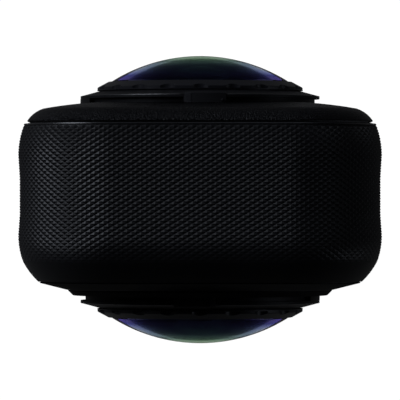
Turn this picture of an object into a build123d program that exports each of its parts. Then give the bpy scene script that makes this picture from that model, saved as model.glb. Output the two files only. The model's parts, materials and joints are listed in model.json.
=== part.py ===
from build123d import *
import os
from math import cos, radians, sin, sqrt

# A stick-shaped camera with a fisheye lens on its front and one on its back, in millimetres.
# It stands on its base at the origin: +Z is up, +X is its right-hand side seen from the front
# cover, whose screen faces -Y. Depths are distances from the middle plane, Y = 0.

# Casing as a whole
body_width = 46.0
body_height = 124.0
corner_radius = 12.0
cut_overrun = 1.0
bond_gap = 0.05
running_gap = 0.06
free_gap = 0.3
panel_gap = 0.15

# Mid frame: a band round the body with a web across it
frame_wall_inset = 2.6
frame_front_step = 0.12
frame_front_inset = 2.51
frame_front_bulge_step = 1.14
frame_front_bulge_inset = 1.48
frame_rear_step = 0.21
frame_rear_inset = 1.25
frame_lip_step = 0.2
frame_lip_inset = 0.85
front_pocket_inset = 4.4
web_below_cover = 4.05
web_thickness = 1.2

# Knurled grip band in its seat round the frame
grip_front_step = 2.54
grip_front_inset = 0.6
grip_rear_step = 0.15
grip_rear_inset = 0.72
grip_seat_inset = 1.25
grip_foot_height = 13.0
crest_front_depth = 4.5
crest_rear_depth = 5.6
waist_front_depth = 1.9
waist_rear_depth = 2.66
waist_inset = 0.18

# Rear shell
rear_face_depth = 12.3
rear_edge_drop = 2.44
rear_edge_inset = 1.18
rear_crown_inset = 10.0
rear_shell_wall = 1.5
rear_spigot_wall = 1.35
rear_spigot_length = 1.66
rear_edge_shares = ((0.0, 0.06), (0.074, 0.36), (0.227, 0.672), (0.499, 0.828), (1.0, 1.0))

# Front cover
plateau_height = 0.85
cover_wall = 1.2
cover_edge_inset = 2.73
cover_edge_drop = 0.93
cover_rim_height = 0.06
cover_slope_inset = 6.1
cover_slope_drop = 0.08
cover_flat_inset = 6.6
cover_plug_wall = 1.05
cover_plug_above_web = 1.0
plateau_margin = 1.57
plateau_bevel_height = 0.58
plateau_bevel_width = 0.6

# Casing gaskets
front_gasket_width = 0.8
front_gasket_inset = 3.3
front_gasket_groove = 0.45
rear_gasket_width = 0.6
rear_gasket_inset = 1.75
rear_gasket_groove = 0.35

# Lens units, drawn from the middle plane outward along their own axis
lens_drop = 23.5
lens_side_margin = 7.57
dome_rise = 3.234
dome_thickness = 1.6
dome_edge_step = 0.9
dome_edge_height = 0.116
dome_seat_below_ring = 1.25
dome_gasket_height = 0.25
ring_bevel_height = 0.7
ring_flat_width = 0.5
ring_edge_bevel = 0.09
ring_edge_height = 0.45
ring_edge_step = 0.01
ring_base_gap = 0.13
ring_skirt_step = 1.05
ring_skirt_sunk = 0.9
ring_ledge_width = 1.0
scallop_count = 20
scallop_width = 2.1
scallop_cut = 0.45
scallop_floor_height = 0.12
scallop_phase = 90.0
base_lip_step = 0.03
base_slot_height = 0.64
base_lip_thickness = 0.35
base_bevel_width = 2.18
base_bevel_height = 0.58
base_slot_reach = 0.66
base_skirt_step = 1.83
base_skirt_length = 1.95
bayonet_blocks = ((78.0, 98.0), (156.0, 196.0), (236.0, 258.0), (300.0, 326.0))
lens_seal_radius = 0.25
lens_seal_height = 0.05
lens_seal_fit = 0.03
barrel_flange_step = 0.23
barrel_flange_thickness = 1.0
barrel_step = 0.7
barrel_bottom_depth = 4.0
barrel_shoulder_height = 0.7
barrel_nose_step = 0.5
barrel_nose_slope = 2.2
barrel_nose_height = 1.2
barrel_nose_rim = 1.3
inner_lens_clearance = 0.1
inner_lens_thickness = 1.2
inner_lens_sunk = 0.2
inner_lens_rise = 1.6
deep_lens_above_sensor = 2.0
deep_lens_height = 2.4
deep_bore_step = 1.0
sensor_width = 13.0
sensor_height = 10.0
sensor_thickness = 0.6
sensor_board_size = 24.0
sensor_board_thickness = 1.0
sensor_board_corner = 2.0
lens_pad_margin = 1.07

# Heat plate between the two sensor boards
heat_plate_half_thickness = 0.8
heat_plate_height = 23.0
heat_land_size = 17.0

# Screen
glass_side_margin = 6.6
glass_below_plateau = 1.4
glass_above_microphone = 3.6
glass_corner = 2.4
glass_thickness = 0.8
screen_gasket_thickness = 0.15
screen_ledge = 1.5
display_thickness = 1.55

# Keys under the screen and on the right-hand side
key_height = 19.0
shutter_key_x = -6.6
shutter_key_radius = 4.4
lens_key_x = 7.4
lens_key_length = 8.4
lens_key_width = 4.6
front_key_proud = 0.3
key_flange_width = 0.7
key_flange_thickness = 0.5
key_rim_bevel = 0.25
front_board_margin = 9.5
front_board_height = 9.4
key_board_thickness = 0.8
key_pad_thickness = 0.45
key_switch_thickness = 0.5
key_pad_radius = 1.9
key_switch_radius = 1.6
quick_key_below_lens = 34.5
power_key_below_lens = 24.5
side_key_y = 0.4
side_key_length = 7.0
side_key_width = 3.2
side_key_proud = 0.12
side_board_below_quick_key = 6.6
side_board_above_power_key = 5.2
side_board_width = 6.4
side_board_inset = 4.6
side_post_width = 1.2
side_post_margin = 0.9

# Battery, its cover and its bay
bay_low = 15.0
bay_below_lens = 43.5
bay_front_margin = 1.4
bay_rear_margin = 1.0
bay_corner = 1.0
cover_skin_inset = 2.55
pack_bay_margin = 1.6
pack_head_room = 5.2
pack_behind_web = 1.0
pack_before_shell = 3.8
pack_left_margin = 6.4
pack_right_margin = 4.4
pack_edge_radius = 1.6
pack_rib_width = 6.0
pack_rib_height = 3.0
pack_rib_margin = 5.0
tray_wall = 0.7
tray_right_margin = 3.8
tray_clearance = 0.25
contact_count = 4
contact_pitch = 3.0
contact_width = 1.4
contact_height = 3.0
contact_thickness = 0.5
battery_seal_height = 0.5
battery_seal_width = 0.7
battery_seal_margin = 0.8
latch_key_length = 6.0
latch_key_width = 3.2
latch_key_sunk = 0.3
latch_key_below_top = 9.0
latch_travel = 2.2
latch_plate_width = 4.4
latch_plate_thickness = 0.6
latch_plate_inset = 2.0
latch_plate_length = 14.0
latch_gap = 0.1
latch_rib_count = 5
latch_rib_height = 0.25
latch_rib_width = 0.4

# Memory card in its socket on top of the bay
card_width = 11.0
card_length = 15.0
card_thickness = 0.9
card_right_margin = 3.5
card_push = 0.8
socket_width = 13.0
socket_length = 16.5
socket_height = 2.0
socket_right_margin = 4.1
card_socket_y = 1.0

# USB socket behind its hinged door on the left-hand side
usb_below_lens = 24.5
usb_centre_y = -0.3
usb_shell_length = 9.0
usb_shell_width = 3.3
usb_mouth_length = 8.3
usb_mouth_width = 2.6
usb_shell_depth = 7.4
usb_tongue_width = 0.7
usb_tongue_length = 6.6
usb_tongue_depth = 5.0
usb_wall_inset = 2.1
usb_board_width = 11.6
usb_board_height = 11.0
usb_board_thickness = 0.8
usb_post_radius = 1.0
door_height = 14.0
door_front_depth = 5.3
door_pin_y = 4.4
door_outer_inset = 0.2
port_bezel_width = 1.5
door_thickness = 1.4
door_barrel_radius = 0.7
door_pin_radius = 0.3
door_pin_overhang = 0.9
door_notch_radius = 2.4
door_notch_cut = 0.5
door_seal_length = 10.6
door_seal_width = 4.8
door_seal_thickness = 0.4
door_seal_clearance = 0.35

# Boards and shielding
board_left_margin = 15.0
board_right_margin = 6.2
board_low_below_lens = 41.9
board_high_below_lens = 16.5
board_behind_web = 1.8
board_thickness = 1.0
board_post_radius = 1.5
board_corner_margin = 2.0
board_screw_radius = 0.7
board_screw_head_radius = 1.3
board_screw_head = 0.6
board_screw_length = 2.2
can_margin = 3.8
can_height = 2.2
spreader_margin = 2.6
spreader_thickness = 0.9

# Sound and light
speaker_low_below_lens = 42.1
speaker_height = 8.6
speaker_front_depth = 3.6
speaker_rear_depth = 5.4
speaker_thickness = 3.8
speaker_slit_count = 4
speaker_slit_width = 0.8
speaker_slit_length = 5.6
speaker_slit_pitch = 1.7
microphone_width = 3.0
microphone_length = 3.6
microphone_thickness = 1.1
microphone_hole_radius = 0.45
side_microphone_below_plate = 3.4
front_microphone_above_keys = 7.0
rear_microphone_below_pad = 5.0
light_radius = 0.8
light_flange_radius = 1.4
light_flange_thickness = 0.5
front_light_x = 6.0
rear_light_below_microphone = 5.0
antenna_margin = 1.0
antenna_width = 9.0
antenna_thickness = 0.5

# Base with its tripod thread
bush_radius = 4.8
bush_bore_radius = 3.18
bush_bore_depth = 7.4
bush_height = 9.2
bush_flange_radius = 5.95
bush_flange_thickness = 1.2
bush_boss_radius = 6.1
plate_side_margin = 9.0
plate_depth = 11.6
plate_corner = 3.0
plate_thickness = 0.8
base_screw_share = 0.7143
base_screw_head_radius = 1.5
base_screw_head = 0.4
base_screw_recess = 0.1
base_screw_radius = 0.8
base_screw_length = 2.5
base_screw_boss_radius = 1.9
base_screw_boss_height = 1.4

# Screws that pull the front cover against the web
cover_screw_radius = 0.8
cover_screw_head_radius = 1.5
cover_screw_head = 0.7
cover_screw_length = 3.6
cover_boss_radius = 1.7
upper_screw_margin = 6.6
upper_screw_below_lens = 12.5
lower_screw_margin = 9.5
lower_screw_height = 8.5

# Sizes worked out from those above
half_width = body_width / 2
middle_height = body_height / 2
outside = half_width + cut_overrun
lens_height = body_height - lens_drop
frame_inner_x = half_width - frame_wall_inset
lens_turns = {"rear": 0, "front": 180}

front_face_depth = rear_face_depth - plateau_height
cover_slope_depth = front_face_depth - cover_slope_drop
cover_edge_depth = front_face_depth - cover_edge_drop
cover_rim_depth = cover_edge_depth - cover_rim_height
cover_inner_depth = front_face_depth - cover_wall
frame_front_depth = cover_rim_depth - frame_front_step
frame_front_bulge_depth = frame_front_depth - frame_front_bulge_step
grip_front_depth = frame_front_depth - grip_front_step
web_front_depth = front_face_depth - web_below_cover
web_rear_depth = web_front_depth - web_thickness
cover_plug_depth = web_front_depth + cover_plug_above_web
plateau_bevel_depth = rear_face_depth - plateau_bevel_height
shell_inner_depth = rear_face_depth - rear_shell_wall
rear_edge_depth = rear_face_depth - rear_edge_drop
rear_spigot_depth = rear_edge_depth - rear_spigot_length
frame_rear_depth = rear_edge_depth - frame_rear_step
frame_lip_depth = frame_rear_depth - frame_lip_step
grip_rear_depth = frame_lip_depth - grip_rear_step

base_outer_radius = half_width - lens_side_margin
base_lip_radius = base_outer_radius - base_lip_step
base_recess_radius = base_outer_radius - base_slot_reach
base_skirt_outer_radius = base_outer_radius - base_skirt_step
base_top_radius = base_outer_radius - base_bevel_width
lens_pad_radius = base_outer_radius + lens_pad_margin
plateau_radius = base_outer_radius + plateau_margin
plateau_top_radius = plateau_radius - plateau_bevel_width
ring_outer_radius = base_top_radius - ring_edge_step
ring_bevel_radius = ring_outer_radius - ring_edge_bevel
ring_skirt_radius = base_top_radius - ring_skirt_step
dome_edge_radius = ring_skirt_radius - dome_edge_step
ring_ledge_radius = dome_edge_radius - ring_ledge_width
dome_outer_radius = (dome_edge_radius ** 2 + dome_rise ** 2) / (2 * dome_rise)
barrel_flange_radius = base_outer_radius - barrel_flange_step
barrel_radius = ring_skirt_radius - barrel_step
barrel_nose_radius = ring_ledge_radius - barrel_nose_step
barrel_nose_top_radius = barrel_nose_radius - barrel_nose_slope
barrel_bore_radius = barrel_nose_top_radius - barrel_nose_rim
inner_lens_radius = barrel_bore_radius - inner_lens_clearance
deep_bore_radius = barrel_bore_radius - deep_bore_step
deep_lens_radius = deep_bore_radius - inner_lens_clearance

base_skirt_depth = rear_face_depth - base_skirt_length
base_lip_low_depth = rear_face_depth + base_slot_height
base_lip_depth = base_lip_low_depth + base_lip_thickness
base_top_depth = base_lip_depth + base_bevel_height
ring_skirt_depth = rear_face_depth - ring_skirt_sunk
ring_low_depth = base_top_depth + ring_base_gap
scallop_floor_depth = ring_low_depth + scallop_floor_height
ring_bevel_depth = ring_low_depth + ring_edge_height
ring_top_depth = ring_bevel_depth + ring_bevel_height
lens_seal_depth = rear_face_depth + lens_seal_height
dome_seat_depth = ring_top_depth - dome_seat_below_ring
dome_apex_depth = ring_top_depth + dome_edge_height + dome_rise
lens_pad_depth = cover_inner_depth
barrel_shoulder_depth = lens_pad_depth + barrel_shoulder_height
barrel_nose_depth = rear_face_depth + barrel_nose_height
inner_lens_edge_depth = barrel_nose_depth - inner_lens_sunk
inner_lens_low_depth = inner_lens_edge_depth - inner_lens_thickness
inner_lens_apex_depth = inner_lens_edge_depth + inner_lens_rise
deep_lens_low_depth = barrel_bottom_depth + deep_lens_above_sensor

front_microphone_height = key_height + front_microphone_above_keys
side_microphone_height = lens_height - heat_plate_height / 2 - side_microphone_below_plate
rear_microphone_height = lens_height - lens_pad_radius - rear_microphone_below_pad
rear_light_height = rear_microphone_height - rear_light_below_microphone
glass_width = body_width - 2 * glass_side_margin
glass_low = front_microphone_height + glass_above_microphone
glass_height = lens_height - plateau_radius - glass_below_plateau - glass_low
screen_pocket_depth = front_face_depth - glass_thickness - screen_gasket_thickness
front_key_inner_depth = cover_inner_depth - bond_gap - key_flange_thickness
front_board_rear_depth = web_front_depth
front_switch_base_depth = front_board_rear_depth + key_board_thickness
front_key_places = (
    (shutter_key_x, 2 * shutter_key_radius, 2 * shutter_key_radius),
    (lens_key_x, lens_key_length, lens_key_width),
)
front_board_x = (front_key_places[0][0] + front_key_places[1][0]) / 2
front_board_width = body_width - 2 * front_board_margin

quick_key_height = lens_height - quick_key_below_lens
power_key_height = lens_height - power_key_below_lens
side_key_heights = (quick_key_height, power_key_height)
side_board_low = quick_key_height - side_board_below_quick_key
side_board_high = power_key_height + side_board_above_power_key
side_post_low = side_board_low + side_post_margin
side_key_face_x = half_width - waist_inset + side_key_proud
side_flange_outer_x = frame_inner_x - bond_gap
side_flange_inner_x = side_flange_outer_x - key_flange_thickness
side_board_outer_x = half_width - side_board_inset

pack_front_depth = web_rear_depth - pack_behind_web
pack_rear_depth = shell_inner_depth - pack_before_shell
pack_left = half_width - pack_left_margin
pack_right = half_width - pack_right_margin
bay_high = lens_height - bay_below_lens
bay_front_depth = pack_front_depth + bay_front_margin
bay_rear_depth = pack_rear_depth + bay_rear_margin
bay_middle_height = (bay_low + bay_high) / 2
bay_middle_y = (bay_rear_depth - bay_front_depth) / 2
bay_height = bay_high - bay_low
bay_depth = bay_front_depth + bay_rear_depth
battery_cover_inner_x = half_width - cover_skin_inset
battery_cover_outer_x = half_width - grip_seat_inset
pack_low = bay_low + pack_bay_margin
pack_high = bay_high - pack_head_room
pack_height = pack_high - pack_low
tray_right = half_width - tray_right_margin
tray_inner_left = -pack_left - tray_clearance - contact_thickness
tray_top = pack_high + tray_clearance + tray_wall
latch_plate_outer_x = half_width - latch_plate_inset + latch_plate_thickness
latch_plate_top = bay_high - panel_gap - latch_gap
latch_key_middle = latch_plate_top - latch_key_below_top
card_middle_height = tray_top + socket_height / 2
card_right = half_width - card_right_margin
socket_right = half_width - socket_right_margin

usb_height = lens_height - usb_below_lens
door_outer_x = -(half_width - door_outer_inset)
door_pin_x = door_outer_x + door_barrel_radius
door_inner_x = door_outer_x + door_thickness
door_pin_reach = door_height / 2 + door_pin_overhang
usb_wall_x = -(half_width - usb_wall_inset)
usb_board_rear_y = usb_centre_y - usb_shell_width / 2
usb_board_front_y = usb_board_rear_y - usb_board_thickness
usb_board_right_x = -frame_inner_x + free_gap + usb_board_width
usb_post_x = usb_board_right_x - usb_board_thickness - usb_post_radius
usb_post_heights = [usb_height + side * usb_board_height / 4 for side in (-1, 1)]

board_left = half_width - board_left_margin
board_right = half_width - board_right_margin
board_low = lens_height - board_low_below_lens
board_high = lens_height - board_high_below_lens
board_front_depth = web_rear_depth - board_behind_web
board_rear_depth = board_front_depth - board_thickness
board_screw_tip_y = -board_rear_depth - board_screw_length
board_hole_places = [
    (x, z)
    for x in (-board_left + board_corner_margin, board_right - board_corner_margin)
    for z in (board_low + board_corner_margin, board_high - board_corner_margin)
]
upper_screw_x = half_width - upper_screw_margin
upper_screw_height = lens_height - upper_screw_below_lens
lower_screw_x = half_width - lower_screw_margin
cover_screw_tip_y = -web_rear_depth - cover_screw_length
cover_screw_places = [
    (side * x, z)
    for x, z in ((upper_screw_x, upper_screw_height), (lower_screw_x, lower_screw_height))
    for side in (-1, 1)
]
plate_width = body_width - 2 * plate_side_margin
base_screw_places = [side * base_screw_share * plate_width / 2 for side in (-1, 1)]
base_screw_top = base_screw_recess + base_screw_head
base_screw_tip = base_screw_top + base_screw_length
base_boss_top = frame_wall_inset + base_screw_boss_height
bush_boss_top = bush_height - bush_flange_thickness

speaker_low = lens_height - speaker_low_below_lens
speaker_middle_height = speaker_low + speaker_height / 2
speaker_middle_y = (speaker_rear_depth - speaker_front_depth) / 2
speaker_slit_heights = [
    speaker_middle_height + speaker_slit_pitch * (index - (speaker_slit_count - 1) / 2)
    for index in range(speaker_slit_count)
]


# Drawing helpers

def about(centre, width):
    """The pair of coordinates that lie half a width either side of a centre."""
    return (centre - width / 2, centre + width / 2)


def block(x_span, y_span, z_span):
    """A box between three pairs of coordinates."""
    spans = (x_span, y_span, z_span)
    sizes = [high - low for low, high in spans]
    centre = [(high + low) / 2 for low, high in spans]
    return Pos(*centre) * Box(*sizes)


def slab(sketch, low_y, high_y):
    """Extrude a sketch drawn in front view (X across, Z up) between two depths."""
    return Pos(0, high_y, 0) * extrude(Plane.XZ * sketch, high_y - low_y)


def bar(sketch, low_x, high_x):
    """Extrude a sketch drawn in side view (Y across, Z up) between two widths."""
    return Pos(low_x, 0, 0) * extrude(Plane.YZ * sketch, high_x - low_x)


def tier(sketch, low_z, high_z):
    """Extrude a sketch drawn from above between two heights."""
    return Pos(0, 0, low_z) * extrude(sketch, high_z - low_z)


def depth_rod(radius, low_y, high_y, x=0, z=0):
    """A round bar along Y."""
    return slab(Pos(x, z) * Circle(radius), low_y, high_y)


def upright_slot(length, width):
    """A round-ended outline that stands upright."""
    return Rot(0, 0, 90) * SlotOverall(length, width)


def outline(inset):
    """The body's front outline, drawn in by an inset."""
    shape = RectangleRounded(body_width - 2 * inset, body_height - 2 * inset, corner_radius - inset)
    return Pos(0, middle_height) * shape


def outline_ring(inset, width, low_y, high_y):
    """A thin ring that follows the body outline."""
    inner = slab(outline(inset + width), low_y - cut_overrun, high_y + cut_overrun)
    return slab(outline(inset), low_y, high_y) - inner


def at(inset, depth):
    """A point of a wall's section: its distance out from the corner's axis, and its depth."""
    return (corner_radius - inset, depth)


def girdle(section):
    """Carry a wall's section all the way round the body outline."""
    reach_x = half_width - corner_radius
    reach_z = middle_height - corner_radius
    side = Pos(reach_x, 0, 0) * extrude(section, reach_z, both=True)
    end = Pos(0, 0, reach_z) * Rot(0, -90, 0) * extrude(section, reach_x, both=True)
    corner = Pos(reach_x, 0, -reach_z) * revolve(section, Axis.Y, 90)
    low_corners = [corner, mirror(corner, Plane.YZ)]
    high_corners = [mirror(piece, Plane.XY) for piece in low_corners]
    runs = [side, mirror(side, Plane.YZ), end, mirror(end, Plane.XY)]
    return Pos(0, 0, middle_height) * (Part() + runs + low_corners + high_corners)


# Grip band and mid frame

def grip_outline():
    """The grip's outer line, from its front edge to its rear edge."""
    front_crest = at(0, -crest_front_depth)
    rear_crest = at(0, crest_rear_depth)
    waist_front = at(waist_inset, -waist_front_depth)
    waist_rear = at(waist_inset, waist_rear_depth)
    return [
        TangentArc(front_crest, at(grip_front_inset, -grip_front_depth), tangent=(0, -1)),
        Polyline(front_crest, waist_front, waist_rear, rear_crest),
        TangentArc(rear_crest, at(grip_rear_inset, grip_rear_depth), tangent=(0, 1)),
    ]


def grip_ring():
    """The grip all the way round, from its seat to its outer line."""
    inner = Polyline(
        at(grip_rear_inset, grip_rear_depth),
        at(grip_seat_inset, grip_rear_depth),
        at(grip_seat_inset, -grip_front_depth),
        at(grip_front_inset, -grip_front_depth),
    )
    return girdle(make_face(grip_outline() + [inner]))


def frame_ring():
    """The mid frame's wall all the way round, before its openings."""
    front = at(frame_front_inset, -frame_front_depth)
    bulge = at(frame_front_bulge_inset, -frame_front_bulge_depth)
    front_arc = ThreePointArc(front, bulge, at(grip_front_inset, -grip_front_depth))
    rest = Polyline(
        at(grip_rear_inset, grip_rear_depth),
        at(frame_lip_inset, frame_lip_depth),
        at(frame_rear_inset, frame_rear_depth),
        at(frame_wall_inset, frame_rear_depth),
        at(frame_wall_inset, -web_rear_depth),
        at(front_pocket_inset, -web_rear_depth),
        at(front_pocket_inset, -frame_front_depth),
        front,
    )
    return girdle(make_face([front_arc] + grip_outline() + [rest]))


def bay_mouth(shrink, low_x, high_x):
    """The battery opening's outline, drawn in and carried between two widths."""
    shape = RectangleRounded(bay_depth - 2 * shrink, bay_height - 2 * shrink, bay_corner)
    return bar(Pos(bay_middle_y, bay_middle_height) * shape, low_x, high_x)


def wall_openings():
    """Everything that passes through the frame's wall and the grip on either side."""
    inside = frame_inner_x - cut_overrun
    key_hole = upright_slot(side_key_length + 2 * panel_gap, side_key_width + 2 * panel_gap)
    slit = SlotOverall(speaker_slit_length, speaker_slit_width)
    pinhole = Pos(0, side_microphone_height) * Circle(microphone_hole_radius)
    cuts = [bay_mouth(0, inside, outside), bar(pinhole, inside, outside), bar(pinhole, -outside, -inside)]
    cuts += [bar(Pos(side_key_y, height) * key_hole, inside, outside) for height in side_key_heights]
    cuts += [bar(Pos(speaker_middle_y, height) * slit, -outside, -inside) for height in speaker_slit_heights]
    return cuts


def port_bezel():
    """The stretch of the left-hand wall that stays plain round the USB door."""
    return block(
        (-outside, -frame_inner_x),
        (-door_front_depth - port_bezel_width, door_pin_y + door_barrel_radius + port_bezel_width),
        about(usb_height, door_height + 2 * port_bezel_width),
    )


def door_recess():
    """The pocket that the USB door closes, with room for its hinge barrel to turn."""
    z_span = about(usb_height, door_height + 2 * panel_gap)
    swing_radius = door_barrel_radius + panel_gap
    pocket = block((-outside, door_inner_x + panel_gap), (-door_front_depth - panel_gap, door_pin_y), z_span)
    barrel = tier(Pos(door_pin_x, door_pin_y) * Circle(swing_radius), *z_span)
    mouth = block((-outside, door_pin_x), (door_pin_y, door_pin_y + swing_radius), z_span)
    return [pocket, barrel, mouth]


def make_grip_blank():
    """The knurled band from its foot up, open where the plain port bezel stands."""
    foot = block((-outside, outside), (-outside, outside), (-cut_overrun, grip_foot_height))
    return grip_ring() - foot - port_bezel()


def make_mid_frame(grip_blank):
    """The structural band with its web, bosses, posts and openings."""
    web = slab(outline(front_pocket_inset - cut_overrun), -web_front_depth, -web_rear_depth)
    bosses = [tier(Circle(bush_boss_radius), bond_gap, bush_boss_top)]
    bosses += [
        Pos(x, 0, 0) * tier(Circle(base_screw_boss_radius), frame_wall_inset - cut_overrun, base_boss_top)
        for x in base_screw_places
    ]
    bosses += [
        depth_rod(board_post_radius, -web_rear_depth, -board_front_depth, x, z) for x, z in board_hole_places
    ]
    bosses += [
        depth_rod(usb_post_radius, -web_rear_depth, usb_board_front_y, usb_post_x, z)
        for z in usb_post_heights
    ]
    bosses += [
        block(
            (side_board_outer_x, frame_inner_x + cut_overrun),
            about(side_key_y, side_post_width),
            about(z, side_post_width),
        )
        for z in (side_post_low, (quick_key_height + power_key_height) / 2)
    ]
    plate_pocket = RectangleRounded(plate_width + 2 * bond_gap, plate_depth + 2 * bond_gap, plate_corner)
    cuts = [
        depth_rod(barrel_radius + free_gap, -frame_front_depth, 0, 0, lens_height),
        make_front_gasket(),
        make_rear_gasket(),
        tier(plate_pocket, -cut_overrun, plate_thickness),
        tier(Circle(bush_radius + bond_gap), -cut_overrun, bush_height),
        tier(Circle(bush_flange_radius + bond_gap), bush_boss_top, bush_height + bond_gap),
    ]
    cuts += [
        Pos(x, 0, 0) * tier(Circle(base_screw_radius + bond_gap), -cut_overrun, base_screw_tip + bond_gap)
        for x in base_screw_places
    ]
    cuts += [
        depth_rod(board_screw_radius + bond_gap, board_screw_tip_y - bond_gap, -board_front_depth, x, z)
        for x, z in board_hole_places
    ]
    cuts += [
        depth_rod(cover_screw_radius + bond_gap, -web_front_depth, -web_rear_depth, x, z)
        for x, z in cover_screw_places
    ]
    seal_mouth = RectangleRounded(
        door_seal_width + 2 * door_seal_clearance,
        door_seal_length + 2 * door_seal_clearance,
        usb_shell_width / 2,
    )
    port = upright_slot(usb_shell_length + 2 * bond_gap, usb_shell_width + 2 * bond_gap)
    cuts.append(bar(Pos(usb_centre_y, usb_height) * seal_mouth, -half_width, usb_wall_x))
    cuts.append(bar(Pos(usb_centre_y, usb_height) * port, -half_width, -frame_inner_x + cut_overrun))
    cuts.append(block(
        (latch_plate_outer_x - latch_plate_thickness - latch_gap, latch_plate_outer_x + latch_gap),
        about(bay_middle_y, latch_plate_width + 2 * latch_gap),
        (bay_high - cut_overrun, latch_plate_top + latch_travel + panel_gap + latch_gap),
    ))
    pin_hole = tier(
        Pos(door_pin_x, door_pin_y) * Circle(door_pin_radius + bond_gap),
        usb_height - door_pin_reach - bond_gap,
        usb_height + door_pin_reach + bond_gap,
    )
    frame = frame_ring() - grip_blank + web + bosses
    return frame - cuts - wall_openings() - door_recess() - pin_hole


def make_front_gasket():
    """The gasket in the frame's front groove."""
    high = -frame_front_depth + front_gasket_groove
    return outline_ring(front_gasket_inset, front_gasket_width, -cover_rim_depth, high)


def make_rear_gasket():
    """The gasket in the frame's rear groove."""
    low = frame_rear_depth - rear_gasket_groove
    return outline_ring(rear_gasket_inset, rear_gasket_width, low, rear_edge_depth)


# Rear shell and front cover

def make_rear_shell():
    """The back cover: a rounded pan with a spigot inside the frame."""
    bevel_width = rear_crown_inset - rear_edge_inset
    bevel_depth = rear_face_depth - rear_edge_depth
    edge = [
        at(rear_edge_inset + bevel_width * across, rear_edge_depth + bevel_depth * deep)
        for across, deep in rear_edge_shares
    ]
    spigot_inset = frame_wall_inset + panel_gap
    inner_inset = spigot_inset + rear_spigot_wall
    rest = Polyline(
        edge[-1],
        at(rear_crown_inset, shell_inner_depth),
        at(inner_inset, shell_inner_depth),
        at(inner_inset, rear_spigot_depth),
        at(spigot_inset, rear_spigot_depth),
        at(spigot_inset, rear_edge_depth),
        at(rear_edge_inset, rear_edge_depth),
        edge[0],
    )
    shell = girdle(make_face([ThreePointArc(*edge[:3]), ThreePointArc(*edge[2:]), rest]))
    shell += slab(outline(rear_crown_inset), shell_inner_depth, rear_face_depth)
    shell += depth_rod(lens_pad_radius, lens_pad_depth, shell_inner_depth, 0, lens_height)
    beyond = rear_face_depth + cut_overrun
    shell -= depth_rod(base_skirt_outer_radius + bond_gap, 0, beyond, 0, lens_height)
    shell -= depth_rod(microphone_hole_radius, 0, beyond, 0, rear_microphone_height)
    return shell - depth_rod(light_radius + bond_gap, 0, beyond, 0, rear_light_height)


def screen_sketch(grow):
    """The screen glass's outline, grown or drawn in."""
    shape = RectangleRounded(glass_width + 2 * grow, glass_height + 2 * grow, glass_corner + grow)
    return Pos(0, glass_low + glass_height / 2) * shape


def front_key_sketch(length, width, grow):
    """A key's round or round-ended outline, grown on every side."""
    if length == width:
        return Circle(length / 2 + grow)
    return SlotOverall(length + 2 * grow, width + 2 * grow)


def make_front_cover():
    """The front cover: a bevelled pan with a raised plateau round the lens and a screen pocket."""
    plug_inset = front_pocket_inset + panel_gap
    inner_inset = plug_inset + cover_plug_wall
    section = make_face(Polyline(
        at(cover_edge_inset, -cover_rim_depth),
        at(cover_edge_inset, -cover_edge_depth),
        at(cover_slope_inset, -cover_slope_depth),
        at(cover_flat_inset, -front_face_depth),
        at(cover_flat_inset, -cover_inner_depth),
        at(inner_inset, -cover_inner_depth),
        at(inner_inset, -cover_plug_depth),
        at(plug_inset, -cover_plug_depth),
        at(plug_inset, -cover_rim_depth),
        at(cover_edge_inset, -cover_rim_depth),
    ))
    cover = girdle(section) + slab(outline(cover_flat_inset), -front_face_depth, -cover_inner_depth)
    plateau = turned([
        (0, cover_inner_depth),
        (plateau_radius, cover_inner_depth),
        (plateau_radius, plateau_bevel_depth),
        (plateau_top_radius, rear_face_depth),
        (0, rear_face_depth),
    ])
    cover += Pos(0, 0, lens_height) * Rot(0, 0, 180) * plateau
    cover += [
        depth_rod(cover_boss_radius, -cover_inner_depth, -web_front_depth, x, z)
        for x, z in cover_screw_places
    ]
    beyond = -rear_face_depth - cut_overrun
    cuts = [
        depth_rod(base_skirt_outer_radius + bond_gap, beyond, 0, 0, lens_height),
        slab(screen_sketch(bond_gap), beyond, -screen_pocket_depth),
        slab(screen_sketch(-screen_ledge), beyond, 0),
        depth_rod(microphone_hole_radius, beyond, 0, 0, front_microphone_height),
        depth_rod(light_radius + bond_gap, beyond, 0, front_light_x, front_microphone_height),
    ]
    cuts += [
        slab(Pos(x, key_height) * front_key_sketch(length, width, panel_gap), beyond, 0)
        for x, length, width in front_key_places
    ]
    cuts += [
        depth_rod(cover_screw_radius + bond_gap, cover_screw_tip_y - bond_gap, 0, x, z)
        for x, z in cover_screw_places
    ]
    return cover - cuts


# Lens units, built about the lens axis at the middle plane with +Y outward

def turned(points):
    """Turn a closed line of radius and depth points about the lens axis."""
    return revolve(make_face(Polyline(*points, points[0])), Axis.Y, 360)


def sector(radius, start, end, low, high):
    """A wedge about the lens axis between two angles, counted from +X towards +Z."""
    reach = 2 * radius
    middle = radians((start + end) / 2)
    near = [(reach * cos(radians(angle)), reach * sin(radians(angle))) for angle in (start, end)]
    tip = (2 * reach * cos(middle), 2 * reach * sin(middle))
    return slab(make_face(Polyline((0, 0), near[0], tip, near[1], (0, 0))), low, high)


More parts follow.
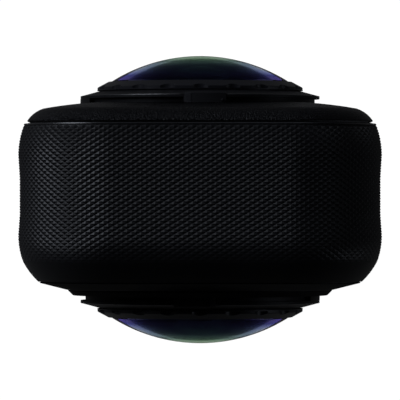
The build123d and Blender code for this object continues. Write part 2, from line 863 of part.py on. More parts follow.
def make_lens_base():
    """The fixed ring round a lens, with bayonet slots for a clip-on guard under its lip."""
    bore_radius = ring_skirt_radius + running_gap
    ring = turned([
        (bore_radius, base_skirt_depth),
        (base_skirt_outer_radius, base_skirt_depth),
        (base_skirt_outer_radius, rear_face_depth),
        (base_recess_radius, rear_face_depth),
        (base_recess_radius, base_lip_low_depth),
        (base_lip_radius, base_lip_low_depth),
        (base_lip_radius, base_lip_depth),
        (base_top_radius, base_top_depth),
        (bore_radius, base_top_depth),
    ])
    blocks = turned([
        (base_recess_radius - bond_gap, rear_face_depth),
        (base_outer_radius, rear_face_depth),
        (base_outer_radius, base_lip_low_depth),
        (base_recess_radius - bond_gap, base_lip_low_depth),
    ])
    return ring + [
        blocks & sector(base_outer_radius, start, end, rear_face_depth, base_lip_low_depth)
        for start, end in bayonet_blocks
    ]


def make_lens_ring():
    """The turning ring that holds the dome, with scooped finger grips round its rim."""
    pocket_radius = dome_edge_radius + bond_gap
    seal_centre = lens_seal_centre()
    groove_radius = seal_centre - lens_seal_radius - lens_seal_fit
    groove_half = lens_seal_radius + lens_seal_fit
    ledge_depth = dome_seat_depth - dome_gasket_height
    ring = turned([
        (ring_ledge_radius, ring_skirt_depth),
        (ring_skirt_radius, ring_skirt_depth),
        (ring_skirt_radius, lens_seal_depth - groove_half),
        (groove_radius, lens_seal_depth - groove_half),
        (groove_radius, lens_seal_depth + groove_half),
        (ring_skirt_radius, lens_seal_depth + groove_half),
        (ring_skirt_radius, ring_low_depth),
        (ring_outer_radius, ring_low_depth),
        (ring_outer_radius, ring_bevel_depth - (ring_outer_radius - ring_bevel_radius)),
        (ring_bevel_radius, ring_bevel_depth),
        (pocket_radius + ring_flat_width, ring_top_depth),
        (pocket_radius, ring_top_depth),
        (pocket_radius, ledge_depth),
        (ring_ledge_radius, ledge_depth),
    ])
    scoop_radius = (scallop_width ** 2 / 4 + scallop_cut ** 2) / (2 * scallop_cut)
    scoop_reach = ring_outer_radius + scoop_radius - scallop_cut
    angles = [radians(scallop_phase + 360 * index / scallop_count) for index in range(scallop_count)]
    scoop = depth_rod(scoop_radius, scallop_floor_depth, ring_top_depth)
    return ring - [Pos(scoop_reach * cos(angle), 0, scoop_reach * sin(angle)) * scoop for angle in angles]


def make_dome():
    """The domed outer lens: a meniscus with a flat foot on the ring's ledge."""
    centre_depth = dome_apex_depth - dome_outer_radius
    inner_radius = dome_outer_radius - dome_thickness
    foot_radius = sqrt(inner_radius ** 2 - (dome_seat_depth - centre_depth) ** 2)

    def on_sphere(sphere_radius, radius):
        return (radius, centre_depth + sqrt(sphere_radius ** 2 - radius ** 2))

    edge = on_sphere(dome_outer_radius, dome_edge_radius)
    outer_apex = on_sphere(dome_outer_radius, 0)
    inner_apex = on_sphere(inner_radius, 0)
    foot = (foot_radius, dome_seat_depth)
    return revolve(make_face([
        ThreePointArc(outer_apex, on_sphere(dome_outer_radius, dome_edge_radius / 2), edge),
        Polyline(edge, (dome_edge_radius, dome_seat_depth), foot),
        ThreePointArc(foot, on_sphere(inner_radius, foot_radius / 2), inner_apex),
        Line(inner_apex, outer_apex),
    ]), Axis.Y, 360)


def make_dome_gasket():
    """The flat gasket between the dome's foot and the ring's ledge."""
    low = dome_seat_depth - dome_gasket_height
    inner = ring_ledge_radius + bond_gap
    return turned([
        (inner, low), (dome_edge_radius, low), (dome_edge_radius, dome_seat_depth), (inner, dome_seat_depth)
    ])


def lens_seal_centre():
    """How far the round seal's section stands from the lens axis, just inside the base's bore."""
    return ring_skirt_radius + running_gap - lens_seal_fit - lens_seal_radius


def make_lens_seal():
    """The round-section seal in the turning ring's groove."""
    return revolve(Pos(lens_seal_centre(), lens_seal_depth) * Circle(lens_seal_radius), Axis.Y, 360)


def make_barrel():
    """The fixed barrel with the inner elements' bores, hung from its flange behind the casing."""
    flange_low = lens_pad_depth - barrel_flange_thickness
    return turned([
        (deep_bore_radius, barrel_bottom_depth),
        (barrel_radius, barrel_bottom_depth),
        (barrel_radius, flange_low),
        (barrel_flange_radius, flange_low),
        (barrel_flange_radius, lens_pad_depth),
        (barrel_radius, lens_pad_depth),
        (barrel_radius, barrel_shoulder_depth),
        (barrel_nose_radius, barrel_shoulder_depth),
        (barrel_nose_top_radius, barrel_nose_depth),
        (barrel_bore_radius, barrel_nose_depth),
        (barrel_bore_radius, inner_lens_low_depth),
        (deep_bore_radius, inner_lens_low_depth),
    ])


def make_inner_elements():
    """The second and third lens elements in the barrel, as two separate solids."""
    sphere = (inner_lens_radius ** 2 + inner_lens_rise ** 2) / (2 * inner_lens_rise)
    middle = inner_lens_radius / 2
    middle_depth = inner_lens_apex_depth - sphere + sqrt(sphere ** 2 - middle ** 2)
    apex = (0, inner_lens_apex_depth)
    rim = (inner_lens_radius, inner_lens_edge_depth)
    front = revolve(make_face([
        ThreePointArc(apex, (middle, middle_depth), rim),
        Polyline(rim, (inner_lens_radius, inner_lens_low_depth), (0, inner_lens_low_depth), apex),
    ]), Axis.Y, 360)
    return front + depth_rod(deep_lens_radius, deep_lens_low_depth, deep_lens_low_depth + deep_lens_height)


def make_sensors():
    """The two image sensors on their boards, each right behind its barrel."""
    low = barrel_bottom_depth - sensor_thickness
    sensor = slab(Rectangle(sensor_width, sensor_height), low, barrel_bottom_depth)
    return Part() + [lens_place(turn) * sensor for turn in lens_turns.values()]


def make_sensor_boards():
    """The two boards behind the image sensors."""
    high = barrel_bottom_depth - sensor_thickness
    shape = RectangleRounded(sensor_board_size, sensor_board_size, sensor_board_corner)
    board = slab(shape, high - sensor_board_thickness, high)
    return Part() + [lens_place(turn) * board for turn in lens_turns.values()]


def lens_unit(side, turn):
    """One lens unit's pieces, turned to the front or the back and lifted to the lens axis."""
    makers = {
        "lens_base": make_lens_base,
        "lens_ring": make_lens_ring,
        "lens_dome": make_dome,
        "dome_gasket": make_dome_gasket,
        "lens_seal": make_lens_seal,
        "lens_barrel": make_barrel,
        "inner_elements": make_inner_elements,
    }
    return {f"{side}_{piece}": lens_place(turn) * maker() for piece, maker in makers.items()}


def lens_place(turn):
    """Where a lens unit goes: lifted to the lens axis and turned to the front or the back."""
    return Pos(0, 0, lens_height) * Rot(0, 0, turn)


def make_heat_plate():
    """The plate between the two sensor boards, fixed across the frame."""
    thickness = 2 * heat_plate_half_thickness
    plate = block(about(0, 2 * frame_inner_x), about(0, thickness), about(lens_height, heat_plate_height))
    board_low_depth = barrel_bottom_depth - sensor_thickness - sensor_board_thickness
    return plate + block(
        about(0, heat_land_size), about(0, 2 * board_low_depth), about(lens_height, heat_land_size)
    )


# Screen

def make_screen_glass():
    """The cover glass over the display, flush with the front cover."""
    return slab(screen_sketch(0), -front_face_depth, -front_face_depth + glass_thickness)


def make_screen_gasket():
    """The gasket between the glass and the ledge round the screen's window."""
    low = -front_face_depth + glass_thickness
    window = slab(screen_sketch(-screen_ledge), low - cut_overrun, low + cut_overrun)
    return slab(screen_sketch(0), low, low + screen_gasket_thickness) - window


def make_display():
    """The display panel bonded to the back of the glass."""
    low = -front_face_depth + glass_thickness
    return slab(screen_sketch(-screen_ledge - bond_gap), low, low + display_thickness)


# Keys

def make_front_key(x, length, width):
    """A key under the screen: a bevelled cap with a flange behind the cover."""
    cap_face = -front_face_depth - front_key_proud
    cap = slab(front_key_sketch(length, width, 0), cap_face, -front_key_inner_depth)
    cap = chamfer(cap.faces().sort_by(Axis.Y)[0].edges(), key_rim_bevel)
    flange = front_key_sketch(length, width, key_flange_width)
    low = -front_key_inner_depth - key_flange_thickness
    return Pos(x, 0, key_height) * (cap + slab(flange, low, -front_key_inner_depth))


def make_front_key_board():
    """The board behind the two front keys, on the web."""
    shape = Pos(front_board_x, key_height) * Rectangle(front_board_width, front_board_height)
    return slab(shape, -front_switch_base_depth, -front_board_rear_depth)


def make_side_key(height):
    """A key in the right-hand wall: a bevelled cap with a flange behind the wall."""
    cap = bar(upright_slot(side_key_length, side_key_width), side_flange_inner_x, side_key_face_x)
    cap = chamfer(cap.faces().sort_by(Axis.X)[-1].edges(), key_rim_bevel)
    flange = upright_slot(side_key_length + 2 * key_flange_width, side_key_width + 2 * key_flange_width)
    return Pos(0, side_key_y, height) * (cap + bar(flange, side_flange_inner_x, side_flange_outer_x))


def make_side_key_board():
    """The board behind the two side keys, on the frame's posts."""
    return block(
        (side_board_outer_x - key_board_thickness, side_board_outer_x),
        about(side_key_y, side_board_width),
        (side_board_low, side_board_high),
    )


def make_key_stack(radius, rise, thickness):
    """A round pad or switch under each of the four keys, a rise above its board."""
    front_y = -front_switch_base_depth - rise
    side_x = side_board_outer_x + rise
    front = [depth_rod(radius, front_y - thickness, front_y, x, key_height) for x, _, _ in front_key_places]
    side = [
        bar(Pos(side_key_y, height) * Circle(radius), side_x, side_x + thickness)
        for height in side_key_heights
    ]
    return Part() + front + side


# Battery

def make_battery_pack():
    """The pack that slides into the bay."""
    width = pack_front_depth + pack_rear_depth
    shape = RectangleRounded(width, pack_height, pack_edge_radius)
    middle_y = (pack_rear_depth - pack_front_depth) / 2
    return bar(Pos(middle_y, pack_low + pack_height / 2) * shape, -pack_left, pack_right)


def make_battery_cover():
    """The side cover on the pack, with its two ribs and the latch's channel."""
    cover = bay_mouth(panel_gap, battery_cover_inner_x, battery_cover_outer_x)
    rib_heights = (pack_low + pack_rib_margin, pack_high - pack_rib_margin)
    cover += [
        block(
            (pack_right, battery_cover_inner_x),
            about(bay_middle_y, pack_rib_width),
            about(height, pack_rib_height),
        )
        for height in rib_heights
    ]
    return cover - block(
        (latch_plate_outer_x - latch_plate_thickness - latch_gap, outside),
        about(bay_middle_y, latch_plate_width + 2 * latch_gap),
        (latch_plate_top - latch_plate_length - latch_gap, bay_high),
    )


def make_battery_grip(grip_blank):
    """The patch of knurled skin on the battery cover, with the latch's slot."""
    slot_length = latch_key_length + latch_travel + 2 * latch_gap
    slot = block(
        (battery_cover_inner_x, outside),
        about(bay_middle_y, latch_key_width + 2 * latch_gap),
        about(latch_key_middle + latch_travel / 2, slot_length),
    )
    return (grip_blank & bay_mouth(panel_gap, battery_cover_outer_x, outside)) - slot


def make_battery_latch():
    """The sliding latch: a plate with a tongue at its top and a ribbed key."""
    plate_inner_x = latch_plate_outer_x - latch_plate_thickness
    plate = block(
        (plate_inner_x, latch_plate_outer_x),
        about(bay_middle_y, latch_plate_width),
        (latch_plate_top - latch_plate_length, latch_plate_top),
    )
    key_face_x = half_width - waist_inset - latch_key_sunk
    key = block(
        (latch_plate_outer_x, key_face_x),
        about(bay_middle_y, latch_key_width),
        about(latch_key_middle, latch_key_length),
    )
    rib_pitch = latch_key_length / latch_rib_count
    ribs = [
        block(
            (key_face_x, key_face_x + latch_rib_height),
            about(bay_middle_y, latch_key_width),
            about(latch_key_middle + rib_pitch * (index - (latch_rib_count - 1) / 2), latch_rib_width),
        )
        for index in range(latch_rib_count)
    ]
    return plate + key + ribs


def make_battery_seal():
    """The seal on the inner side of the battery cover."""
    low_x = battery_cover_inner_x - battery_seal_height
    outer = bay_mouth(battery_seal_margin, low_x, battery_cover_inner_x)
    hollow = bay_mouth(battery_seal_margin + battery_seal_width, low_x - cut_overrun, outside)
    return outer - hollow


def make_battery_bay():
    """The tray round the pack, open towards the battery cover."""
    inner_y = (-pack_front_depth - tray_clearance, pack_rear_depth + tray_clearance)
    inner_z = (pack_low - tray_clearance, pack_high + tray_clearance)
    outer_y = (inner_y[0] - tray_wall, inner_y[1] + tray_wall)
    outer_z = (inner_z[0] - tray_wall, inner_z[1] + tray_wall)
    tray = block((tray_inner_left - tray_wall, tray_right), outer_y, outer_z)
    return tray - block((tray_inner_left, tray_right + cut_overrun), inner_y, inner_z)


def make_battery_contacts():
    """The sprung contacts on the tray's closed end."""
    middle_y = (pack_rear_depth - pack_front_depth) / 2
    low_z = pack_low + pack_rib_margin
    return Part() + [
        block(
            (tray_inner_left, tray_inner_left + contact_thickness),
            about(middle_y + contact_pitch * (index - (contact_count - 1) / 2), contact_width),
            (low_z, low_z + contact_height),
        )
        for index in range(contact_count)
    ]


# Memory card

def make_card_socket():
    """The card's socket on the tray, open towards the battery cover."""
    socket = block(
        (socket_right - socket_length, socket_right),
        about(card_socket_y, socket_width),
        (tray_top, tray_top + socket_height),
    )
    slot = block(
        (card_right - card_length - card_push - latch_gap, socket_right + cut_overrun),
        about(card_socket_y, card_width + 2 * latch_gap),
        about(card_middle_height, card_thickness + 2 * latch_gap),
    )
    return socket - slot


def make_memory_card():
    """The memory card, pushed home."""
    return block(
        (card_right - card_length, card_right),
        about(card_socket_y, card_width),
        about(card_middle_height, card_thickness),
    )


# USB port

def make_usb_socket():
    """The socket's round-ended shell with its contact tongue."""
    right_x = usb_wall_x + usb_shell_depth
    shell = bar(upright_slot(usb_shell_length, usb_shell_width), usb_wall_x, right_x)
    mouth = upright_slot(usb_mouth_length, usb_mouth_width)
    hollow = bar(mouth, usb_wall_x - cut_overrun, right_x - usb_tongue_width)
    tongue = block(
        (right_x - usb_tongue_width - usb_tongue_depth, right_x - usb_tongue_width / 2),
        about(0, usb_tongue_width),
        about(0, usb_tongue_length),
    )
    return Pos(0, usb_centre_y, usb_height) * (shell - hollow + tongue)


def make_usb_board():
    """The small board that carries the USB socket."""
    return block(
        (usb_board_right_x - usb_board_width, usb_board_right_x),
        (usb_board_front_y, usb_board_rear_y),
        about(usb_height, usb_board_height),
    )


def make_usb_door():
    """The hinged door, with its barrel along the rear edge and a notch for a fingernail."""
    z_span = about(usb_height, door_height)
    leaf = block((door_outer_x, door_inner_x), (-door_front_depth, door_pin_y), z_span)
    barrel = tier(Pos(door_pin_x, door_pin_y) * Circle(door_barrel_radius), *z_span)
    bore = tier(Pos(door_pin_x, door_pin_y) * Circle(door_pin_radius + running_gap), *z_span)
    notch = Pos(door_outer_x, -door_front_depth, usb_height) * Rot(0, 90, 0) * Cylinder(
        door_notch_radius, 2 * door_notch_cut
    )
    return leaf + barrel - bore - notch


def make_usb_door_seal():
    """The plug of soft rubber behind the door."""
    shape = RectangleRounded(door_seal_width, door_seal_length, usb_mouth_width / 2)
    place = Pos(usb_centre_y, usb_height)
    return bar(place * shape, door_inner_x, door_inner_x + door_seal_thickness)


def make_usb_door_pin():
    """The pin pressed into the frame, which the door turns on."""
    circle = Pos(door_pin_x, door_pin_y) * Circle(door_pin_radius)
    return tier(circle, usb_height - door_pin_reach, usb_height + door_pin_reach)


# Boards, sound and light

def make_main_board():
    """The main board on the web's posts."""
    y_span = (-board_front_depth, -board_rear_depth)
    return block((-board_left, board_right), y_span, (board_low, board_high)) - [
        depth_rod(board_screw_radius + bond_gap, -board_front_depth, -board_rear_depth, x, z)
        for x, z in board_hole_places
    ]


def make_shield_can():
    """The shield over the main board's chips."""
    return block(
        (-board_left + can_margin, board_right - can_margin),
        (-board_rear_depth, -board_rear_depth + can_height),
        (board_low + can_margin, board_high - can_margin),
    )


def make_heat_spreader():
    """The plate on top of the shield."""
    low_y = -board_rear_depth + can_height
    return block(
        (-board_left + spreader_margin, board_right - spreader_margin),
        (low_y, low_y + spreader_thickness),
        (board_low + spreader_margin, board_high - spreader_margin),
    )


def make_speaker():
    """The speaker box against the slits in the left-hand wall."""
    return block(
        (-frame_inner_x, -frame_inner_x + speaker_thickness),
        (-speaker_front_depth, speaker_rear_depth),
        (speaker_low, speaker_low + speaker_height),
    )


def make_microphones():
    """Four microphones, each behind its pinhole: left, right, front and rear."""
    side_y = about(0, microphone_width)
    side_z = about(side_microphone_height, microphone_length)
    across = about(0, microphone_width)
    front_z = about(front_microphone_height, microphone_length)
    rear_z = about(rear_microphone_height, microphone_length)
    return Part() + [
        block((frame_inner_x - microphone_thickness, frame_inner_x), side_y, side_z),
        block((-frame_inner_x, -frame_inner_x + microphone_thickness), side_y, side_z),
        block(across, (-cover_inner_depth, -cover_inner_depth + microphone_thickness), front_z),
        block(across, (shell_inner_depth - microphone_thickness, shell_inner_depth), rear_z),
    ]


def make_status_lights():
    """The two light guides, one through the front cover and one through the rear shell."""
    front = depth_rod(light_radius, -front_face_depth, -cover_inner_depth)
    front += depth_rod(light_flange_radius, -cover_inner_depth, -cover_inner_depth + light_flange_thickness)
    rear = depth_rod(light_radius, shell_inner_depth, rear_face_depth)
    rear += depth_rod(light_flange_radius, shell_inner_depth - light_flange_thickness, shell_inner_depth)
    return Part() + [
        Pos(front_light_x, 0, front_microphone_height) * front,
        Pos(0, 0, rear_light_height) * rear,
    ]


def make_antenna():
    """The aerial strip under the top wall."""
    top = body_height - frame_wall_inset
    antenna_length = 2 * (half_width - corner_radius - antenna_margin)
    return block(about(0, antenna_length), about(0, antenna_width), (top - antenna_thickness, top))


# Base

def make_tripod_bush():
    """The metal bush for a quarter-inch tripod screw, with a flange inside the frame."""
    bush = tier(Circle(bush_radius), 0, bush_height)
    bush += tier(Circle(bush_flange_radius), bush_boss_top, bush_height)
    return bush - tier(Circle(bush_bore_radius), -cut_overrun, bush_bore_depth)


def make_base_plate():
    """The plate that the camera stands on, round the tripod bush."""
    plate = tier(RectangleRounded(plate_width, plate_depth, plate_corner), 0, plate_thickness)
    plate -= tier(Circle(bush_radius + bond_gap), -cut_overrun, plate_thickness)
    for x in base_screw_places:
        plate -= Pos(x, 0, 0) * tier(Circle(base_screw_radius + bond_gap), -cut_overrun, plate_thickness)
        plate -= Pos(x, 0, 0) * tier(Circle(base_screw_head_radius + bond_gap), -cut_overrun, base_screw_top)
    return plate


def make_base_screws():
    """The two screws that hold the base plate."""
    head = tier(Circle(base_screw_head_radius), base_screw_recess, base_screw_top)
    screw = head + tier(Circle(base_screw_radius), base_screw_top, base_screw_tip)
    return Part() + [Pos(x, 0, 0) * screw for x in base_screw_places]


def depth_screw(places, seat_y, tip_y, radius, head_radius, head):
    """Identical screws along Y: heads behind the seat, shanks towards the front."""
    screw = depth_rod(radius, tip_y, seat_y) + depth_rod(head_radius, seat_y, seat_y + head)
    return Part() + [Pos(x, 0, z) * screw for x, z in places]


grip = make_grip_blank()
parts = {
    "mid_frame": make_mid_frame(grip),
    "grip_band": grip - wall_openings(),
    "rear_shell": make_rear_shell(),
    "front_cover": make_front_cover(),
    "front_casing_gasket": make_front_gasket(),
    "rear_casing_gasket": make_rear_gasket(),
    "lens_heat_plate": make_heat_plate(),
    "image_sensors": make_sensors(),
    "sensor_boards": make_sensor_boards(),
    "screen_glass": make_screen_glass(),
    "screen_gasket": make_screen_gasket(),
    "display_panel": make_display(),
    "shutter_button": make_front_key(*front_key_places[0]),
    "lens_button": make_front_key(*front_key_places[1]),
    "front_key_board": make_front_key_board(),
    "key_switches": make_key_stack(key_switch_radius, 0, key_switch_thickness),
    "key_pads": make_key_stack(key_pad_radius, key_switch_thickness, key_pad_thickness),
    "quick_button": make_side_key(quick_key_height),
    "power_button": make_side_key(power_key_height),
    "side_key_board": make_side_key_board(),
    "battery_pack": make_battery_pack(),
    "battery_cover": make_battery_cover(),
    "battery_grip": make_battery_grip(grip),
    "battery_latch": make_battery_latch(),
    "battery_seal": make_battery_seal(),
    "battery_bay": make_battery_bay(),
    "battery_contacts": make_battery_contacts(),
    "card_socket": make_card_socket(),
    "memory_card": make_memory_card(),
    "usb_socket": make_usb_socket(),
    "usb_board": make_usb_board(),
    "usb_door": make_usb_door(),
    "usb_door_seal": make_usb_door_seal(),
    "usb_door_pin": make_usb_door_pin(),
    "main_board": make_main_board(),
    "shield_can": make_shield_can(),
    "heat_spreader": make_heat_spreader(),
    "speaker": make_speaker(),
    "microphones": make_microphones(),
    "status_lights": make_status_lights(),
    "antenna": make_antenna(),
    "tripod_bush": make_tripod_bush(),
    "base_plate": make_base_plate(),
    "base_screws": make_base_screws(),
    "cover_screws": depth_screw(
        cover_screw_places,
        -web_rear_depth,
        cover_screw_tip_y,
        cover_screw_radius,
        cover_screw_head_radius,
        cover_screw_head,
    ),
    "board_screws": depth_screw(
        board_hole_places,
        -board_rear_depth,
        board_screw_tip_y,
        board_screw_radius,
        board_screw_head_radius,
        board_screw_head,
    ),
}
for side, turn in lens_turns.items():
    parts.update(lens_unit(side, turn))

os.makedirs("parts", exist_ok=True)
for name, shape in parts.items():
    export_step(shape, f"parts/{name}.step")
print(len(parts), "nodes")
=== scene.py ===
"""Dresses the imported 360 degree camera: knurled grip, coated domes, lens rings, keys, ports and base."""

import json
import logging
import math
from abc import ABC, abstractmethod
from collections.abc import Iterable
from dataclasses import dataclass
from enum import Enum
from functools import cache, partial, reduce

import bmesh
import bpy
from mathutils import Matrix, Vector


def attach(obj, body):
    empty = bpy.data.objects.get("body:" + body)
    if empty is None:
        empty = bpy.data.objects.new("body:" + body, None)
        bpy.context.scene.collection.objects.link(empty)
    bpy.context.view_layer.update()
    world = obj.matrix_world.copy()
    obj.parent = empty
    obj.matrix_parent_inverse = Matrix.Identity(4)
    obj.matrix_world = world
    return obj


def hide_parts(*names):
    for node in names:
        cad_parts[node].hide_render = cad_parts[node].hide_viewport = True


logging.basicConfig(level=logging.INFO, format="%(message)s")
log = logging.getLogger("camera")

Pair = tuple[float, float]
Pairs = tuple[Pair, ...]
Triple = tuple[float, float, float]
Stops = tuple[tuple[float, Triple], ...]
Inputs = dict[str | int, object]
Socket = bpy.types.NodeSocket
Sockets = tuple[Socket, ...]
Node = bpy.types.Node
Mesh = bpy.types.Mesh

MM = 0.001
WELD = 0.0005 * MM
ROUND_ANGLE = math.radians(32.0)
LENS_HEIGHT = 100.5
SIDE_FACE = 22.93
MIRRORED = 0.06

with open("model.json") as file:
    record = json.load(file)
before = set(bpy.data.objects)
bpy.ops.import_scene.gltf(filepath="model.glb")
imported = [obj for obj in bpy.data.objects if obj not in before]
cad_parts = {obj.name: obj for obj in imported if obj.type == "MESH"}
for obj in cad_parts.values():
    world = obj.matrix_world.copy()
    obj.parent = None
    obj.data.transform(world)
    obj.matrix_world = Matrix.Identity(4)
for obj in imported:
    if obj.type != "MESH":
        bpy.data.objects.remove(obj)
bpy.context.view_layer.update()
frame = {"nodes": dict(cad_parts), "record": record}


class Side(Enum):
    """Which lens unit: the value is the sign of its outward direction along Y."""

    REAR = 1
    FRONT = -1


class Grain(Enum):
    """The fine surface that a finish carries."""

    SATIN = "satin"
    LEATHER = "leather"
    BRUSHED = "brushed"
    POLISHED = "polished"


class Wiring:
    """Adds nodes to one shader or geometry tree and joins them."""

    def __init__(self, tree: bpy.types.NodeTree) -> None:
        """Keep the tree."""
        self.tree = tree

    def fill(self, node: Node, inputs: Inputs) -> None:
        """Feed a node's inputs.

        Args:
            node: The node.
            inputs: For each input's name or number, an output socket, or a number, colour or vector.
        """
        for name, value in inputs.items():
            if isinstance(value, Socket):
                self.tree.links.new(value, node.inputs[name])
            else:
                node.inputs[name].default_value = value

    def node(self, kind: str, inputs: Inputs | None = None, **settings: object) -> Node:
        """Add a node.

        Args:
            kind: Blender's name for the node type.
            inputs: What its inputs are fed.
            **settings: Properties set on the node before that.

        Returns:
            The new node.
        """
        made = self.tree.nodes.new(kind)
        for name, value in settings.items():
            setattr(made, name, value)
        self.fill(made, inputs or {})
        return made

    def math(self, operation: str, *values: object) -> Socket:
        """A Math node's result for its numbers or output sockets."""
        return self.node("ShaderNodeMath", dict(enumerate(values)), operation=operation).outputs[0]

    def product(self, *values: object) -> Socket:
        """All the values multiplied."""
        return reduce(partial(self.math, "MULTIPLY"), values)

    def largest(self, *values: object) -> Socket:
        """The largest of the values."""
        return reduce(partial(self.math, "MAXIMUM"), values)

    def between(self, value: object, low: float, high: float) -> Socket:
        """One where a value lies inside a range, and zero elsewhere."""
        return self.product(self.math("GREATER_THAN", value, low), self.math("LESS_THAN", value, high))

    def near(self, value: object, target: float, reach: float) -> Socket:
        """One where a value lies within a reach of a target, and zero elsewhere."""
        return self.math("COMPARE", value, target, reach)

    def span(self, value: object, low: float, high: float, to_low: float, to_high: float) -> Socket:
        """Carry a value from one range to another, held at the ends."""
        inputs = dict(enumerate((value, low, high, to_low, to_high)))
        return self.node("ShaderNodeMapRange", inputs).outputs[0]

    def noise(self, place: object, scale: float, detail: float, roughness: float = 0.5) -> Socket:
        """Soft noise: its features per metre, its octaves and how strong the finer ones are."""
        inputs = {"Vector": place, "Scale": scale, "Detail": detail, "Roughness": roughness}
        return self.node("ShaderNodeTexNoise", inputs).outputs["Fac"]

    def blend(self, factor: object, first: object, second: object) -> Socket:
        """Mix two colours: the factor is the share of the second."""
        return self.node("ShaderNodeMix", {0: factor, 6: first, 7: second}, data_type="RGBA").outputs[2]

    def parts(self, vector: object) -> bpy.types.NodeOutputs:
        """The X, Y and Z outputs of a vector."""
        return self.node("ShaderNodeSeparateXYZ", {0: vector}).outputs


class Surface(Wiring):
    """A new material's wiring, with its main shader and its Object coordinates."""

    def __init__(self, name: str) -> None:
        """Start the material.

        Args:
            name: The material's name.
        """
        self.material = bpy.data.materials.new(name)
        self.material.use_nodes = True
        super().__init__(self.material.node_tree)
        self.shader = self.tree.nodes["Principled BSDF"]
        self.place = self.node("ShaderNodeTexCoord").outputs["Object"]


def tinted(color: Triple, share: float = 1.0) -> tuple[float, float, float, float]:
    """A linear colour multiplied by a share, with full alpha."""
    return (*(min(1.0, part * share) for part in color), 1.0)


@dataclass(frozen=True)
class Look(ABC):
    """A named look, whose material is built once.

    A pair that is named for a noise gives its features per metre and its octaves.
    """

    name: str

    @abstractmethod
    def wire(self, w: Surface) -> None:
        """Feed the main shader of a new surface."""

    @cache
    def material(self) -> bpy.types.Material:
        """Build the material at its first use.

        Returns:
            The finished material.
        """
        surface = Surface(self.name)
        self.wire(surface)
        return surface.material


@dataclass(frozen=True)
class Finish(Look):
    """A plain look with its colour, its gloss and its fine grain.

    Sizes are in millimetres. A pair named octaves gives their number and how strong the finer ones are.
    """

    color: Triple
    roughness: float
    grain: Grain = Grain.SATIN
    grain_size: float = 0.35
    grain_depth: float = 0.012
    metallic: float = 0.0
    specular: float = 0.5
    coat: float = 0.0
    transmission: float = 0.0
    gloss_spread: float = 0.07
    mottle: float = 0.18
    satin_octaves: Pair = (4.0, 0.6)
    blotch_octaves: Pair = (5.0, 0.65)
    blotch_size: float = 9.0
    blotch_range: Pair = (0.3, 0.7)
    crest_range: Pair = (0.25, 0.75)
    crest_gain: float = 1.5
    crest_share: float = 0.35
    cell_smoothness: float = 0.35
    pits_per_cell: float = 2.4
    pit_octaves: float = 2.0
    pit_share: float = 0.35
    brush_share: float = 0.04
    brush_octaves: float = 3.0
    bump_strength: float = 0.6
    coat_roughness: float = 0.08

    def height(self, w: Surface) -> Socket:
        """The grain's height, from zero to one.

        Args:
            w: The surface's wiring.

        Returns:
            The height socket.
        """
        scale = 1 / (self.grain_size * MM)
        if self.grain is Grain.LEATHER:
            inputs = {"Vector": w.place, "Scale": scale, "Smoothness": self.cell_smoothness}
            cells = w.node("ShaderNodeTexVoronoi", inputs, feature="SMOOTH_F1")
            crown = w.math("SUBTRACT", 1.0, cells.outputs["Distance"])
            pits = w.noise(w.place, self.pits_per_cell * scale, self.pit_octaves)
            return w.math("MULTIPLY_ADD", pits, self.pit_share, crown)
        if self.grain is Grain.BRUSHED:
            stretch = {"Vector": w.place, "Scale": (1.0, 1.0, self.brush_share)}
            return w.noise(w.node("ShaderNodeMapping", stretch).outputs["Vector"], scale, self.brush_octaves)
        return w.noise(w.place, scale, *self.satin_octaves)

    def wire(self, w: Surface) -> None:
        """Mottle the colour and the gloss, and raise the grain.

        Args:
            w: The surface's wiring.
        """
        height = self.height(w)
        blotches = w.noise(w.place, 1 / (self.blotch_size * MM), *self.blotch_octaves)
        dark, pale, crest = (tinted(self.color, 1 + way * self.mottle) for way in (-1, 1, self.crest_gain))
        broad = w.blend(w.span(blotches, *self.blotch_range, 0.0, 1.0), dark, pale)
        dullest = self.roughness - self.gloss_spread
        w.fill(w.shader, {
            "Base Color": w.blend(w.span(height, *self.crest_range, 0.0, self.crest_share), broad, crest),
            "Roughness": w.math("MULTIPLY_ADD", blotches, 2 * self.gloss_spread, dullest),
            "Metallic": self.metallic,
            "Specular IOR Level": self.specular,
            "Coat Weight": self.coat,
            "Coat Roughness": self.coat_roughness,
            "Transmission Weight": self.transmission,
        })
        if self.grain is not Grain.POLISHED:
            relief = {"Strength": self.bump_strength, "Distance": self.grain_depth * MM, "Height": height}
            w.fill(w.shader, {"Normal": w.node("ShaderNodeBump", relief).outputs["Normal"]})


